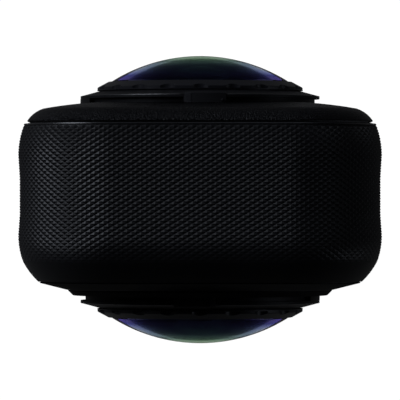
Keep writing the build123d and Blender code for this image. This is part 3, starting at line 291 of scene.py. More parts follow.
@dataclass(frozen=True)
class CoatedGlass(Look):
    """Lens glass whose coating runs from green on the axis to violet at the rim.

    Each run of stops gives a share of the rim's radius and the colour there: what passes, a painted
    reflection added to it where the glass is seen edge on, and what is sent back.
    """

    centre_height: float
    rim_radius: float
    passed: Stops = (
        (0.0, (0.13, 0.22, 0.13)),
        (0.33, (0.21, 0.31, 0.22)),
        (0.42, (0.09, 0.16, 0.12)),
        (0.5, (0.03, 0.05, 0.06)),
        (0.6, (0.012, 0.022, 0.032)),
        (0.95, (0.012, 0.01, 0.028)),
    )
    # painted reflection: colours added to the glass where it is seen edge on
    painted_rim_reflection: Stops = (
        (0.52, (0.0, 0.0, 0.0)),
        (0.64, (0.5, 0.6, 0.8)),
        (0.75, (0.78, 0.9, 1.55)),
        (0.84, (0.5, 0.58, 1.6)),
        (0.91, (0.05, 0.05, 0.7)),
        (0.98, (0.3, 0.18, 1.3)),
    )
    returned: Stops = (
        (0.0, (12.0, 34.0, 12.0)),
        (0.45, (6.0, 20.0, 20.0)),
        (0.68, (4.0, 8.0, 15.0)),
        (0.85, (7.5, 6.5, 26.0)),
        (0.93, (10.0, 5.0, 27.0)),
        (0.98, (2.0, 1.0, 6.0)),
    )
    painted_rim_gain: float = 4.9
    painted_rim_power: float = 10.0
    ior: float = 1.06
    dust: Pair = (900.0, 3.0)
    dust_roughness: float = 0.03

    def ramp(self, w: Surface, share: Socket, stops: Stops) -> Socket:
        """A colour that changes along the stops.

        Args:
            w: The surface's wiring.
            share: The socket that picks the place along them.
            stops: The places and their colours.

        Returns:
            The colour socket.
        """
        made = w.node("ShaderNodeValToRGB", {0: share})
        elements = made.color_ramp.elements
        for index, (position, color) in enumerate(stops):
            element = elements[index] if index < len(elements) else elements.new(position)
            element.position = position
            element.color = (*color, 1.0)
        return made.outputs["Color"]

    def wire(self, w: Surface) -> None:
        """Colour the glass by the distance from the lens axis, and paint a bright coloured reflection where
        it is seen edge on.

        Args:
            w: The surface's wiring.
        """
        parts = w.parts(w.place)
        rise = w.math("SUBTRACT", parts["Z"], self.centre_height)
        squares = w.math("ADD", w.product(parts["X"], parts["X"]), w.product(rise, rise))
        share = w.math("DIVIDE", w.math("SQRT", squares), self.rim_radius)
        facing = w.node("ShaderNodeLayerWeight", {"Blend": 0.5}).outputs["Facing"]
        # painted reflection: the edge-on colours are added to the base colour, strongest where the glass is
        # seen edge on
        strength = w.product(w.math("POWER", facing, self.painted_rim_power), self.painted_rim_gain)
        runs = (self.painted_rim_reflection, self.passed, self.returned)
        painted_rim_reflection, passed, returned = (self.ramp(w, share, run) for run in runs)
        color = w.node("ShaderNodeVectorMath", {0: painted_rim_reflection, 1: strength, 2: passed}, operation="MULTIPLY_ADD")
        w.fill(w.shader, {
            "Base Color": color.outputs[0],
            "Specular Tint": returned,
            "Roughness": w.product(w.noise(w.place, *self.dust), self.dust_roughness),
            "Transmission Weight": 1.0,
            "IOR": self.ior,
        })


@dataclass(frozen=True)
class ScreenGlass(Look):
    """Glass over a switched-off display: a black border round a slightly lighter field, in metres."""

    height: float
    half_across: float
    half_up: float
    border: Triple = (0.0015, 0.0015, 0.002)
    field_low: Triple = (0.0045, 0.005, 0.0065)
    field_high: Triple = (0.007, 0.0075, 0.0095)
    haze: Pair = (120.0, 4.0)
    specular: float = 0.45
    smears: Pair = (60.0, 5.0)
    least_roughness: float = 0.03
    smear_roughness: float = 0.08

    def wire(self, w: Surface) -> None:
        """Lay the field inside the border, and smear the glass.

        Args:
            w: The surface's wiring.
        """
        parts = w.parts(w.place)
        inside = w.product(
            w.between(parts["X"], -self.half_across, self.half_across),
            w.between(parts["Z"], self.height - self.half_up, self.height + self.half_up),
        )
        field = w.blend(w.noise(w.place, *self.haze), tinted(self.field_low), tinted(self.field_high))
        smears = w.noise(w.place, *self.smears)
        w.fill(w.shader, {
            "Base Color": w.blend(inside, tinted(self.border), field),
            "Roughness": w.math("MULTIPLY_ADD", smears, self.smear_roughness, self.least_roughness),
            "Specular IOR Level": self.specular,
        })


@dataclass(frozen=True)
class PaleFloor(Look):
    """A floor that shows white to the camera and through glass, dim to mirrors, and keeps the shadow."""

    low: Triple = (0.8, 0.8, 0.8)
    high: Triple = (0.84, 0.84, 0.84)
    speckle: Pair = (30.0, 4.0)
    roughness: float = 0.9
    white_share: float = 0.94
    white_strength: float = 1.08

    def wire(self, w: Surface) -> None:
        """Mix a glow into the floor for the rays that look at it.

        Args:
            w: The surface's wiring.
        """
        color = w.blend(w.noise(w.place, *self.speckle), tinted(self.low), tinted(self.high))
        w.fill(w.shader, {"Base Color": color, "Roughness": self.roughness})
        path = w.node("ShaderNodeLightPath").outputs
        clear, glossy = w.largest(path["Is Camera Ray"], path["Is Transmission Ray"]), path["Is Glossy Ray"]
        strength = w.largest(w.product(clear, self.white_strength), w.product(glossy, MIRRORED))
        mix = w.node("ShaderNodeMixShader", {
            "Fac": w.product(w.largest(clear, glossy), self.white_share),
            1: w.shader.outputs[0],
            2: w.node("ShaderNodeEmission", {"Strength": strength}).outputs[0],
        })
        w.fill(w.tree.nodes["Material Output"], {"Surface": mix.outputs[0]})


def add(name: str, data: bpy.types.ID) -> bpy.types.Object:
    """Put an object in the scene.

    Args:
        name: The object's name.
        data: Its mesh, lamp or camera.

    Returns:
        The new object.
    """
    made = bpy.data.objects.new(name, data)
    bpy.context.scene.collection.objects.link(made)
    return made


def keep(
    mesh: Mesh, name: str, look: Look, body: str, slot: str, node: str | None = None, faceted: bool = False
) -> None:
    """Make a piece of a mesh and fasten it.

    Args:
        mesh: The mesh, already in its place.
        name: The piece's name.
        look: Its look.
        body: The body that carries it.
        slot: Not used.
        node: The CAD node that it takes the place of.
        faceted: Whether every face is flat, instead of rounded where the faces nearly meet.
    """
    mesh.materials.clear()
    mesh.materials.append(look.material())
    if faceted:
        mesh.shade_flat()
    else:
        mesh.shade_smooth()
        mesh.set_sharp_from_angle(angle=ROUND_ANGLE)
    piece = add(name, mesh)
    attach(piece, body)
    if node:
        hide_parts(node)
    log.info("%s rides %s", name, body)


def polar(radius: float, angle: float) -> Pair:
    """The point at a radius and an angle in radians."""
    return radius * math.cos(angle), radius * math.sin(angle)


def mesh_of(shape: bmesh.types.BMesh, name: str, welded: bool = True) -> Mesh:
    """Turn a bmesh into a mesh.

    Args:
        shape: The bmesh, which is freed.
        name: The mesh's name.
        welded: Whether its points are welded first and its faces turned outwards.

    Returns:
        The mesh.
    """
    if welded:
        bmesh.ops.remove_doubles(shape, verts=shape.verts, dist=WELD)
        bmesh.ops.recalc_face_normals(shape, faces=shape.faces)
    mesh = bpy.data.meshes.new(name)
    shape.to_mesh(mesh)
    shape.free()
    return mesh


def turned(name: str, line: Iterable[Pair], side: Side, steps: int = 160) -> Mesh:
    """Turn a closed line about a lens axis.

    Args:
        name: The mesh's name.
        line: Points of radius and depth, in millimetres.
        side: Which lens unit it belongs to.
        steps: Faces round the axis.

    Returns:
        The mesh, in its place.
    """
    shape = bmesh.new()
    rings = []
    for radius, depth in line:
        ring = []
        for index in range(steps if radius else 1):
            across, rise = polar(radius, math.tau * index / steps)
            ring.append(shape.verts.new(Vector((across, side.value * depth, LENS_HEIGHT + rise)) * MM))
        rings.append(ring)
    for first, second in zip(rings, rings[1:] + rings[:1]):
        if len(first) == len(second) == 1:
            continue
        for index in range(steps):
            after = (index + 1) % steps
            corners = [first[index % len(first)], first[after % len(first)]]
            corners += [second[after % len(second)], second[index % len(second)]]
            unique = list(dict.fromkeys(corners))
            if len(unique) > 2:
                shape.faces.new(unique)
    return mesh_of(shape, name)


def loft(name: str, loops: list[list[Vector]], closed: bool = False) -> Mesh:
    """Join loops of points one after another.

    Args:
        name: The mesh's name.
        loops: Loops with as many points each, in millimetres.
        closed: Whether the last loop joins the first, instead of a face over each end.

    Returns:
        The mesh.
    """
    shape = bmesh.new()
    rings = [[shape.verts.new(point * MM) for point in loop] for loop in loops]
    pairs = list(zip(rings, rings[1:])) + ([(rings[-1], rings[0])] if closed else [])
    for first, second in pairs:
        for index in range(len(first)):
            after = (index + 1) % len(first)
            shape.faces.new((first[index], first[after], second[after], second[index]))
    if not closed:
        shape.faces.new(rings[0])
        shape.faces.new(rings[-1])
    return mesh_of(shape, name)


def boxes(name: str, spans: Iterable[tuple[Triple, Triple]]) -> Mesh:
    """Small blocks in one mesh.

    Args:
        name: The mesh's name.
        spans: Each block's centre and its full sizes, in millimetres.

    Returns:
        The mesh.
    """
    shape = bmesh.new()
    for centre, size in spans:
        place = Matrix.Translation(Vector(centre) * MM) @ Matrix.Diagonal((*(Vector(size) * MM), 1.0))
        bmesh.ops.create_cube(shape, size=1.0, matrix=place)
    return mesh_of(shape, name, welded=False)


class Wall(Enum):
    """A flat side of the body, by its direction across."""

    RIGHT = (0.0, 1.0, 0.0)
    LEFT = (0.0, -1.0, 0.0)
    FRONT = (1.0, 0.0, 0.0)
    REAR = (-1.0, 0.0, 0.0)

    def point(self, centre: Vector, across: float, up: float, lift: float) -> Vector:
        """A point near this side: across, up and outwards from a centre, in millimetres."""
        first, second = Vector(self.value), Vector((0.0, 0.0, 1.0))
        return centre + first * across + second * up + first.cross(second) * lift


@dataclass(frozen=True)
class Outline:
    """A rectangle with round corners, in millimetres."""

    half_across: float
    half_up: float
    corner: float
    corner_steps: int = 12
    least_corner: float = 0.01

    def points(self, grow: float) -> list[Pair]:
        """Its points, counter-clockwise.

        Args:
            grow: How far the outline is moved outwards.

        Returns:
            Points across and up.
        """
        radius = max(self.corner + grow, self.least_corner)
        around = []
        for quarter, (side, rise) in enumerate(((1, 1), (-1, 1), (-1, -1), (1, -1))):
            for step in range(self.corner_steps + 1):
                across, up = polar(radius, math.pi / 2 * (quarter + step / self.corner_steps))
                corner = (side * (self.half_across - self.corner), rise * (self.half_up - self.corner))
                around.append((corner[0] + across, corner[1] + up))
        return around


def disc(radius: float, corner_steps: int = 12) -> Outline:
    """A round outline."""
    return Outline(radius, radius, radius, corner_steps)


@dataclass(frozen=True)
class Relief:
    """A piece on a side of the body: an outline followed outwards and up by steps of growth and lift."""

    name: str
    wall: Wall
    centre: Triple
    outline: Outline
    steps: Pairs
    closed: bool = False

    def put(self, look: Look, body: str, slot: str, node: str | None = None) -> None:
        """Build the piece and fasten it.

        Args:
            look: Its look.
            body: The body that carries it.
            slot: Not used; it is only passed on to keep.
            node: The CAD node that it takes the place of.
        """
        centre = Vector(self.centre)
        loops = []
        for grow, lift in self.steps:
            around = self.outline.points(grow)
            loops.append([self.wall.point(centre, across, up, lift) for across, up in around])
        keep(loft(self.name, loops, self.closed), self.name, look, body, slot, node)


class Tree(Wiring):
    """A Geometry Nodes tree whose result becomes a plain mesh."""

    def __init__(self, name: str, inputs: dict[str, tuple[str, object]]) -> None:
        """Start the tree.

        Args:
            name: The tree's name.
            inputs: Each input's socket type and value, by name.
        """
        super().__init__(bpy.data.node_groups.new(name, "GeometryNodeTree"))
        self.values: dict[str, object] = {}
        for label, (kind, value) in inputs.items():
            socket = self.tree.interface.new_socket(label, in_out="INPUT", socket_type=kind)
            self.values[socket.identifier] = value
        self.tree.interface.new_socket("Geometry", in_out="OUTPUT", socket_type="NodeSocketGeometry")
        self.given = self.node("NodeGroupInput").outputs
        self.exit = self.node("NodeGroupOutput")

    def mesh(self, geometry: Socket) -> Mesh:
        """Close the tree and evaluate it.

        Args:
            geometry: The geometry to hand out.

        Returns:
            A plain mesh with the result.
        """
        self.fill(self.exit, {0: geometry})
        host = add(self.tree.name, bpy.data.meshes.new(self.tree.name))
        modifier = host.modifiers.new(self.tree.name, "NODES")
        modifier.node_group = self.tree
        for identifier, value in self.values.items():
            modifier[identifier] = value
        graph = bpy.context.evaluated_depsgraph_get()
        result = bpy.data.meshes.new_from_object(host.evaluated_get(graph), depsgraph=graph)
        bpy.data.objects.remove(host)
        return result


@dataclass(frozen=True)
class Window:
    """A rectangle of a side wall where the knurl stops, or the only one where it is kept, in millimetres."""

    side: int
    low_y: float
    high_y: float
    low_z: float
    high_z: float
    kept: bool = False

    def kept_inside(self, gap: float) -> "Window":
        """The part inside this window that is kept, with a gap all round."""
        low_y, low_z = self.low_y + gap, self.low_z + gap
        return Window(self.side, low_y, self.high_y - gap, low_z, self.high_z - gap, True)


@dataclass
class Grip:
    """The knurled band round the body, and the knurled skin of the battery cover, in millimetres."""

    half_width: float = 23.0
    height: float = 124.0
    corner: float = 12.0
    corner_points: int = 96
    girth: float = 319.4
    columns: int = 550
    rows: int = 50
    rise: float = 0.145
    fade: float = 3.2
    faded: float = 0.25
    low_y: float = -7.8
    high_y: float = 9.44
    front_crest: float = -4.5
    rear_crest: float = 5.6
    front_waist: float = -1.9
    rear_waist: float = 2.66
    waist: float = 0.18
    front_edge: float = 0.6
    rear_edge: float = 0.72
    foot: float = 13.0
    wall: float = 1.0
    parting: float = 0.15
    side_reach: float = 0.01
    side_depth: float = 2.0
    weld: float = 0.001
    match: float = 0.25
    battery: Window = Window(1, -6.6, 8.0, 15.0, 57.0)
    latch: Window = Window(1, -1.2, 2.6, 44.45, 53.25)
    openings: tuple[Window, ...] = (
        Window(-1, -6.8, 6.6, 67.5, 84.5),
        Window(1, -1.5, 2.3, 62.25, 69.75),
        Window(1, -1.5, 2.3, 72.25, 79.75),
        Window(1, -0.9, 0.9, 84.7, 86.5),
        Window(-1, -0.9, 0.9, 84.7, 86.5),
        Window(-1, -2.2, 4.0, 59.45, 65.95),
    )
    finish: Finish = Finish(
        "knurled rubber", (0.0025, 0.0025, 0.0029), 0.44, Grain.SATIN, 0.12, 0.01, specular=0.12
    )

    @property
    def half_column(self) -> float:
        """Half the way from one column to the next."""
        return self.girth / (2 * self.columns)

    @property
    def half_row(self) -> float:
        """Half the way from one row to the next."""
        return (self.high_y - self.low_y) / (2 * self.rows)

    def inset(self, w: Tree, depth: Socket) -> Socket:
        """How far the grip's outer line lies inside its crests.

        Args:
            w: The tree.
            depth: The place along Y.

        Returns:
            The socket of the distance.
        """
        falls = w.span(depth, self.front_crest, self.front_waist, 0.0, self.waist)
        rises = w.span(depth, self.rear_waist, self.rear_crest, self.waist, 0.0)
        total = w.math("MINIMUM", falls, rises)
        edges = (
            (self.front_crest - self.low_y, self.front_edge, w.math("SUBTRACT", self.front_crest, depth)),
            (self.high_y - self.rear_crest, self.rear_edge, w.math("SUBTRACT", depth, self.rear_crest)),
        )
        for reach, drop, beyond in edges:
            radius = (reach ** 2 + drop ** 2) / (2 * drop)
            over = w.largest(beyond, 0.0)
            chord = w.math("SQRT", w.math("SUBTRACT", radius ** 2, w.product(over, over)))
            total = w.math("ADD", total, w.math("SUBTRACT", radius, chord))
        return total

    def cell(self, w: Tree, lines: Socket) -> Sockets:
        """The column and the row of a point or a face.

        Args:
            w: The tree.
            lines: How many of them a column has.

        Returns:
            The two numbers' sockets.
        """
        index = w.node("GeometryNodeInputIndex").outputs[0]
        column = w.math("FLOOR", w.math("DIVIDE", w.math("ADD", index, 0.5), lines))
        return column, w.math("SUBTRACT", index, w.product(column, lines))

    def parity(self, w: Tree, column: Socket, row: Socket) -> Socket:
        """Zero and one by turns, as on a chessboard."""
        return w.math("MODULO", w.math("ADD", column, row), 2.0)

    def outline(self, w: Tree, column: Socket) -> Sockets:
        """Where a column stands on the body's outline, and which way is outwards there.

        Args:
            w: The tree.
            column: The column's number.

        Returns:
            The place across and up, and the outward direction across and up.
        """
        size = {"Width": w.product(w.given["Half width"], 2.0), "Height": w.given["Height"]}
        rectangle = w.node("GeometryNodeCurvePrimitiveQuadrilateral", size, mode="RECTANGLE")
        radius = w.given["Corner radius"]
        corner = {"Curve": rectangle.outputs[0], "Count": self.corner_points, "Radius": radius}
        fillet = w.node("GeometryNodeFilletCurve", corner, mode="POLY")
        spot = {"Curves": fillet.outputs[0], "Factor": w.math("DIVIDE", column, w.given["Half columns"])}
        sample = w.node("GeometryNodeSampleCurve", spot, mode="FACTOR")
        flat, along = w.parts(sample.outputs["Position"]), w.parts(sample.outputs["Tangent"])
        return flat["X"], w.math("ADD", flat["Y"], self.height / 2), along["Y"], w.product(along["X"], -1.0)

    def snapped(self, w: Tree, windows: list[Window], place: Sockets, row: Socket) -> Sockets:
        """Move the points beside each opening onto its edges, so that the knurl ends in straight lines.

        Args:
            w: The tree.
            windows: The openings, or the one part that is kept.
            place: The points' places across, up and along Y.
            row: Their rows.

        Returns:
            The new places up and along Y, and one for the points on an edge.
        """
        across, level, depth = place
        walls = {sign: w.near(across, sign * self.half_width, self.side_reach) for sign in (-1, 1)}
        lines = [("up", level, self.foot, self.half_column, w.math("ADD", walls[1], walls[-1]))]
        for window in windows:
            wall = walls[window.side]
            tall = w.between(level, window.low_z - self.half_column, window.high_z + self.half_column)
            wide = w.between(depth, window.low_y - self.half_row, window.high_y + self.half_row)
            for edge in (window.low_y, window.high_y):
                lines.append(("depth", depth, edge, self.half_row, w.product(wall, tall)))
            for edge in (window.low_z, window.high_z):
                lines.append(("up", level, edge, self.half_column, w.product(wall, wide)))
        moved = {"up": level, "depth": depth}
        rim = w.largest(w.near(row, 0.0, self.match), w.near(row, float(self.rows), self.match))
        for way, start, edge, reach, mask in lines:
            on_line = w.product(mask, w.near(start, edge, reach))
            shift = w.product(on_line, w.math("SUBTRACT", edge, start))
            moved[way] = w.math("ADD", moved[way], shift)
            rim = w.largest(rim, on_line)
        return moved["up"], moved["depth"], rim

    def dropped(self, w: Tree, windows: list[Window]) -> Socket:
        """Which faces the windows and the foot take away.

        Args:
            w: The tree.
            windows: The openings, or the one part that is kept.

        Returns:
            One for the faces that go.
        """
        where = w.parts(w.node("GeometryNodeInputPosition").outputs[0])
        gone = w.math("LESS_THAN", where["Z"], self.foot * MM)
        for window in windows:
            outwards = w.product(where["X"], float(window.side))
            inside = w.product(
                w.math("GREATER_THAN", outwards, (self.half_width - self.side_depth) * MM),
                w.between(where["Y"], window.low_y * MM, window.high_y * MM),
                w.between(where["Z"], window.low_z * MM, window.high_z * MM),
            )
            gone = w.math("SUBTRACT", 1.0, inside) if window.kept else w.largest(gone, inside)
        return gone

    def finished(self, w: Tree, shape: Socket) -> Socket:
        """Cut each face along its raised corners, weld the seam and turn a skirt inwards along every edge.

        Args:
            w: The tree.
            shape: The knurled surface.

        Returns:
            The finished surface.
        """
        turn = w.node("GeometryNodeInputNamedAttribute", {"Name": "turn"}, data_type="FLOAT").outputs[0]
        for method, wanted in (("FIXED", 1.0), ("FIXED_ALTERNATE", 0.0)):
            cut = {"Mesh": shape, "Selection": w.near(turn, wanted, self.match)}
            shape = w.node("GeometryNodeTriangulate", cut, quad_method=method).outputs[0]
        merged = w.node("GeometryNodeMergeByDistance", {"Geometry": shape, "Distance": self.weld * MM})
        faces = w.node("GeometryNodeInputMeshEdgeNeighbors").outputs[0]
        outward = w.node("GeometryNodeInputNamedAttribute", {"Name": "outward"}, data_type="FLOAT_VECTOR")
        return w.node("GeometryNodeExtrudeMesh", {
            "Mesh": merged.outputs[0],
            "Selection": w.near(faces, 1.0, self.match),
            "Offset": outward.outputs[0],
            "Offset Scale": w.product(w.given["Wall"], -MM),
        }, mode="EDGES").outputs[0]

    def build(self, name: str, windows: list[Window]) -> Mesh:
        """Make the knurl: a grid whose every other point is sunk, wrapped round the outline.

        Args:
            name: The tree's name.
            windows: Where the side walls stay open, or the one part that is kept.

        Returns:
            The knurled mesh, in its place.
        """
        w = Tree(name, {
            "Half width": ("NodeSocketFloat", self.half_width),
            "Height": ("NodeSocketFloat", self.height),
            "Corner radius": ("NodeSocketFloat", self.corner),
            "Half columns": ("NodeSocketInt", self.columns),
            "Half rows": ("NodeSocketInt", self.rows),
            "Knurl depth": ("NodeSocketFloat", self.rise),
            "Wall": ("NodeSocketFloat", self.wall),
        })
        rows = w.given["Half rows"]
        lines = w.math("ADD", rows, 1.0)
        size = {"Vertices X": w.math("ADD", w.given["Half columns"], 1.0), "Vertices Y": lines}
        shape = w.node("GeometryNodeMeshGrid", size).outputs["Mesh"]
        column, row = self.cell(w, lines)
        across, up, out_x, out_z = self.outline(w, column)
        depth = w.math("ADD", self.low_y, w.product(row, 2 * self.half_row))
        fade = w.span(depth, self.low_y, self.low_y + self.fade, self.faded, 1.0)
        up, depth, rim = self.snapped(w, windows, (across, up, depth), row)
        sunk = w.product(fade, w.largest(self.parity(w, column, row), rim), w.given["Knurl depth"])
        inward = w.math("ADD", self.inset(w, depth), sunk)
        place = w.node("ShaderNodeCombineXYZ", {
            "X": w.math("SUBTRACT", across, w.product(out_x, inward)),
            "Y": depth,
            "Z": w.math("SUBTRACT", up, w.product(out_z, inward)),
        })
        metres = w.node("ShaderNodeVectorMath", {0: place.outputs[0], "Scale": MM}, operation="SCALE")
        outward = w.node("ShaderNodeCombineXYZ", {"X": out_x, "Z": out_z})
        for label, kind, domain, value in (
            ("outward", "FLOAT_VECTOR", "POINT", outward.outputs[0]),
            ("turn", "FLOAT", "FACE", self.parity(w, *self.cell(w, rows))),
        ):
            inputs = {"Geometry": shape, "Name": label, "Value": value}
            stored = w.node("GeometryNodeStoreNamedAttribute", inputs, data_type=kind, domain=domain)
            shape = stored.outputs[0]
        moved = w.node("GeometryNodeSetPosition", {"Geometry": shape, "Position": metres.outputs[0]})
        kept = {"Geometry": moved.outputs[0], "Selection": self.dropped(w, windows)}
        pruned = w.node("GeometryNodeDeleteGeometry", kept, domain="FACE")
        return w.mesh(self.finished(w, pruned.outputs[0]))

    def dress(self) -> None:
        """Build the band and the battery's skin, whose every face shows its own edge."""
        skin = [self.battery.kept_inside(self.parting), self.latch]
        for name, windows, body, node in (
            ("knurled_grip_band", [self.battery, *self.openings], "casing", "grip_band"),
            ("knurled_battery_skin", skin, "battery", "battery_grip"),
        ):
            keep(self.build(name, windows), name, self.finish, body, "grip", node, faceted=True)


@dataclass
class Lens:
    """One lens unit: the coated dome, its black edge and the elements under it, in millimetres."""

    side: Side
    dome_radius: float = 21.36
    apex: float = 18.5
    dome_edge: float = 11.3
    seat: float = 13.9
    bowl_radius: float = 16.7
    bowl_apex: float = 18.05
    dome_steps: int = 48
    paint: float = 0.06
    paint_gap: float = 0.02
    paint_height: float = 0.25
    paint_finish: Finish = Finish("edge paint", (0.002, 0.002, 0.0025), 0.9, specular=0.05)
    inner_domes: tuple[Triple, ...] = ((17.0, 7.8, 5.6), (16.3, 4.7, 3.4))
    inner_thickness: float = 0.25
    inner_steps: int = 40
    holder_low: float = 13.95
    holder_steps: Pairs = (
        (0.0, -0.1), (0.0, 0.0), (3.5, 0.0), (3.5, 0.85), (4.0, 0.85), (4.2, 0.15),
        (5.75, 0.15), (5.75, 0.8), (6.3, 0.8), (6.8, 0.2), (10.9, 0.02), (10.9, -0.1),
    )

    @property
    def word(self) -> str:
        """The side's name as the CAD nodes have it."""
        return self.side.name.lower()

    @property
    def foot(self) -> float:
        """The radius at which the bowl meets the dome's seat."""
        return math.sqrt(self.bowl_radius ** 2 - (self.seat - self.bowl_apex + self.bowl_radius) ** 2)

    def cap(self, radius: float, apex: float, start: float, end: float, steps: int) -> list[Pair]:
        """Points of a sphere's section between two distances from the axis.

        Args:
            radius: The sphere's radius.
            apex: The depth of its highest point.
            start: The first distance from the axis.
            end: The last distance from the axis.
            steps: How many stretches.

        Returns:
            Points of radius and depth.
        """
        points = []
        for index in range(steps + 1):
            off = start + (end - start) * index / steps
            points.append((off, apex - radius + math.sqrt(radius ** 2 - off ** 2)))
        return points

    def turn(self, name: str, line: list[Pair]) -> tuple[Mesh, str]:
        """A piece turned from points of radius and depth, and its name with the side's before it."""
        name = f"{self.word}_{name}"
        return turned(name, line, self.side), name

    def dress(self) -> None:
        """Build the dome, its edge paint, the inner elements and their holder."""
        unit = f"{self.word}_lens_unit"
        line = self.cap(self.dome_radius, self.apex, 0.0, self.dome_edge, self.dome_steps)
        line.append((self.dome_edge, self.seat))
        line += self.cap(self.bowl_radius, self.bowl_apex, self.foot, 0.0, self.dome_steps)
        glass = CoatedGlass("coated glass", LENS_HEIGHT * MM, self.dome_edge * MM)
        keep(*self.turn("dome_glass", line), glass, unit, "lens_glass", f"{self.word}_lens_dome")
        inner, outer = self.foot + self.paint, self.dome_edge - self.paint_gap
        low, high = self.seat + self.paint_gap, self.seat + self.paint_height
        line = [(inner, low), (outer, low), (outer, high), (outer - self.paint, high)]
        line += [(outer - self.paint, low + self.paint), (inner, low + self.paint)]
        keep(*self.turn("edge_paint", line), self.paint_finish, unit, "barrel")
        thin = self.inner_thickness
        for number, (apex, radius, rim) in enumerate(self.inner_domes):
            line = self.cap(radius, apex, 0.0, rim, self.inner_steps)
            line += self.cap(radius - thin, apex - thin, rim, 0.0, self.inner_steps)
            node = None if number else f"{self.word}_inner_elements"
            piece = self.turn(f"inner_element_{number}", line)
            keep(*piece, FINISHES["lens_inner"], "casing", "lens_inner", node)
        line = [(radius, self.holder_low + rise) for radius, rise in self.holder_steps]
        keep(*self.turn("element_holder", line), FINISHES["barrel"], unit, "barrel")


@dataclass
class LensBase:
    """The bayonet block beside each lens base, with its grip lines, the lip's edge and the index dot.

    Lengths are in millimetres. Angles are in degrees, from the body's side towards its top.
    """

    side: Side
    inner_radius: float = 13.6
    radius: float = 15.46
    low: float = 12.2
    high: float = 13.58
    start: float = 77.8
    end: float = 97.3
    block_steps: int = 24
    bevel: float = 0.14
    ridge_count: int = 7
    ridge_pitch: float = 0.42
    ridge_height: float = 0.07
    lip_radius: float = 15.34
    lip_high: float = 13.25
    lip_round: float = 0.07
    lip_corners: int = 8
    lip_steps: int = 72
    lip_spans: Pairs = ((-40.0, 77.0), (99.5, 310.0))
    dot_angle: float = 79.5
    dot_depth: float = 12.53
    dot_radius: float = 0.2
    dot_steps: int = 24
    block_finish: Finish = Finish(
        "bayonet block", (0.0035, 0.0035, 0.004), 0.42, grain_size=0.14, specular=0.14
    )
    ridge_finish: Finish = Finish("block ridges", (0.012, 0.012, 0.014), 0.4, grain_size=0.1, specular=0.3)
    lip_finish: Finish = Finish("lip edge", (0.006, 0.006, 0.007), 0.3, grain_size=0.1, specular=0.35)
    dot_finish: Finish = Finish("index dot", (0.005, 0.005, 0.0055), 0.8, grain_size=0.1, specular=0.01)

    def point(self, radius: float, depth: float, angle: float) -> Vector:
        """A point of the base at a radius, a depth and an angle."""
        across, rise = polar(radius, math.radians(angle))
        return Vector((self.side.value * across, self.side.value * depth, LENS_HEIGHT + rise))

    def put(self, name: str, line: list[Pair], span: Pair, steps: int, finish: Finish) -> None:
        """Carry a closed line round a stretch of the base and fasten the piece.

        Args:
            name: The piece's name without the side.
            line: Points of radius and depth.
            span: The stretch's first and last angle.
            steps: How many stretches it is made of.
            finish: The piece's finish.
        """
        start, end = span
        loops = []
        for index in range(steps + 1):
            angle = start + (end - start) * index / steps
            loops.append([self.point(radius, depth, angle) for radius, depth in line])
        name = f"{self.side.name.lower()}_{name}"
        keep(loft(name, loops), name, finish, "casing", "lens_base")

    def dress(self) -> None:
        """Build the block, its ridges, the lip's edge and the dot."""
        face, shoulder = self.radius - self.bevel, self.high - self.bevel
        line = [(self.inner_radius, self.low), (self.radius, self.low), (self.radius, shoulder)]
        line += [(face, self.high), (self.inner_radius, self.high)]
        self.put("bayonet_block", line, (self.start, self.end), self.block_steps, self.block_finish)
        crest, half = self.radius + self.ridge_height, self.ridge_pitch / 4
        line = [(face, self.low), (crest, self.low), (crest, shoulder), (face, self.high - self.bevel / 2)]
        for number in range(self.ridge_count):
            angle = self.end - self.ridge_pitch * (number + 0.5)
            self.put(f"block_ridge_{number}", line, (angle - half, angle + half), 2, self.ridge_finish)
        line = []
        for step in range(self.lip_corners):
            reach, rise = polar(self.lip_round, math.tau * step / self.lip_corners)
            line.append((self.lip_radius + reach, self.lip_high + rise))
        for number, span in enumerate(self.lip_spans):
            self.put(f"lip_edge_{number}", line, span, self.lip_steps, self.lip_finish)
        name = f"{self.side.name.lower()}_index_dot"
        place = self.point(self.radius, self.dot_depth, self.dot_angle) * MM
        size, steps = self.dot_radius * MM, self.dot_steps
        shape = bmesh.new()
        bmesh.ops.create_uvsphere(shape, u_segments=steps, v_segments=steps // 2, radius=size)
        bmesh.ops.translate(shape, verts=shape.verts, vec=place)
        keep(mesh_of(shape, name), name, self.dot_finish, "casing", "light")


@dataclass
class Trim:
    """The plain bead between the knurl and the rear shell, in millimetres."""

    outline: Outline = Outline(23.0, 62.0, 12.0, 32)
    depth: float = 9.5
    steps: Pairs = ((-1.3, -0.1), (-0.76, -0.1), (-0.72, -0.02), (-0.76, 0.06), (-0.85, 0.09), (-1.3, 0.09))
    finish: Finish = Finish("bead plastic", (0.004, 0.004, 0.0046), 0.3, grain_size=0.2, specular=0.35)

    def dress(self) -> None:
        """Build the bead."""
        centre = (0.0, self.depth, self.outline.half_up)
        bead = Relief("rear_bead", Wall.REAR, centre, self.outline, self.steps, True)
        bead.put(self.finish, "casing", "frame")


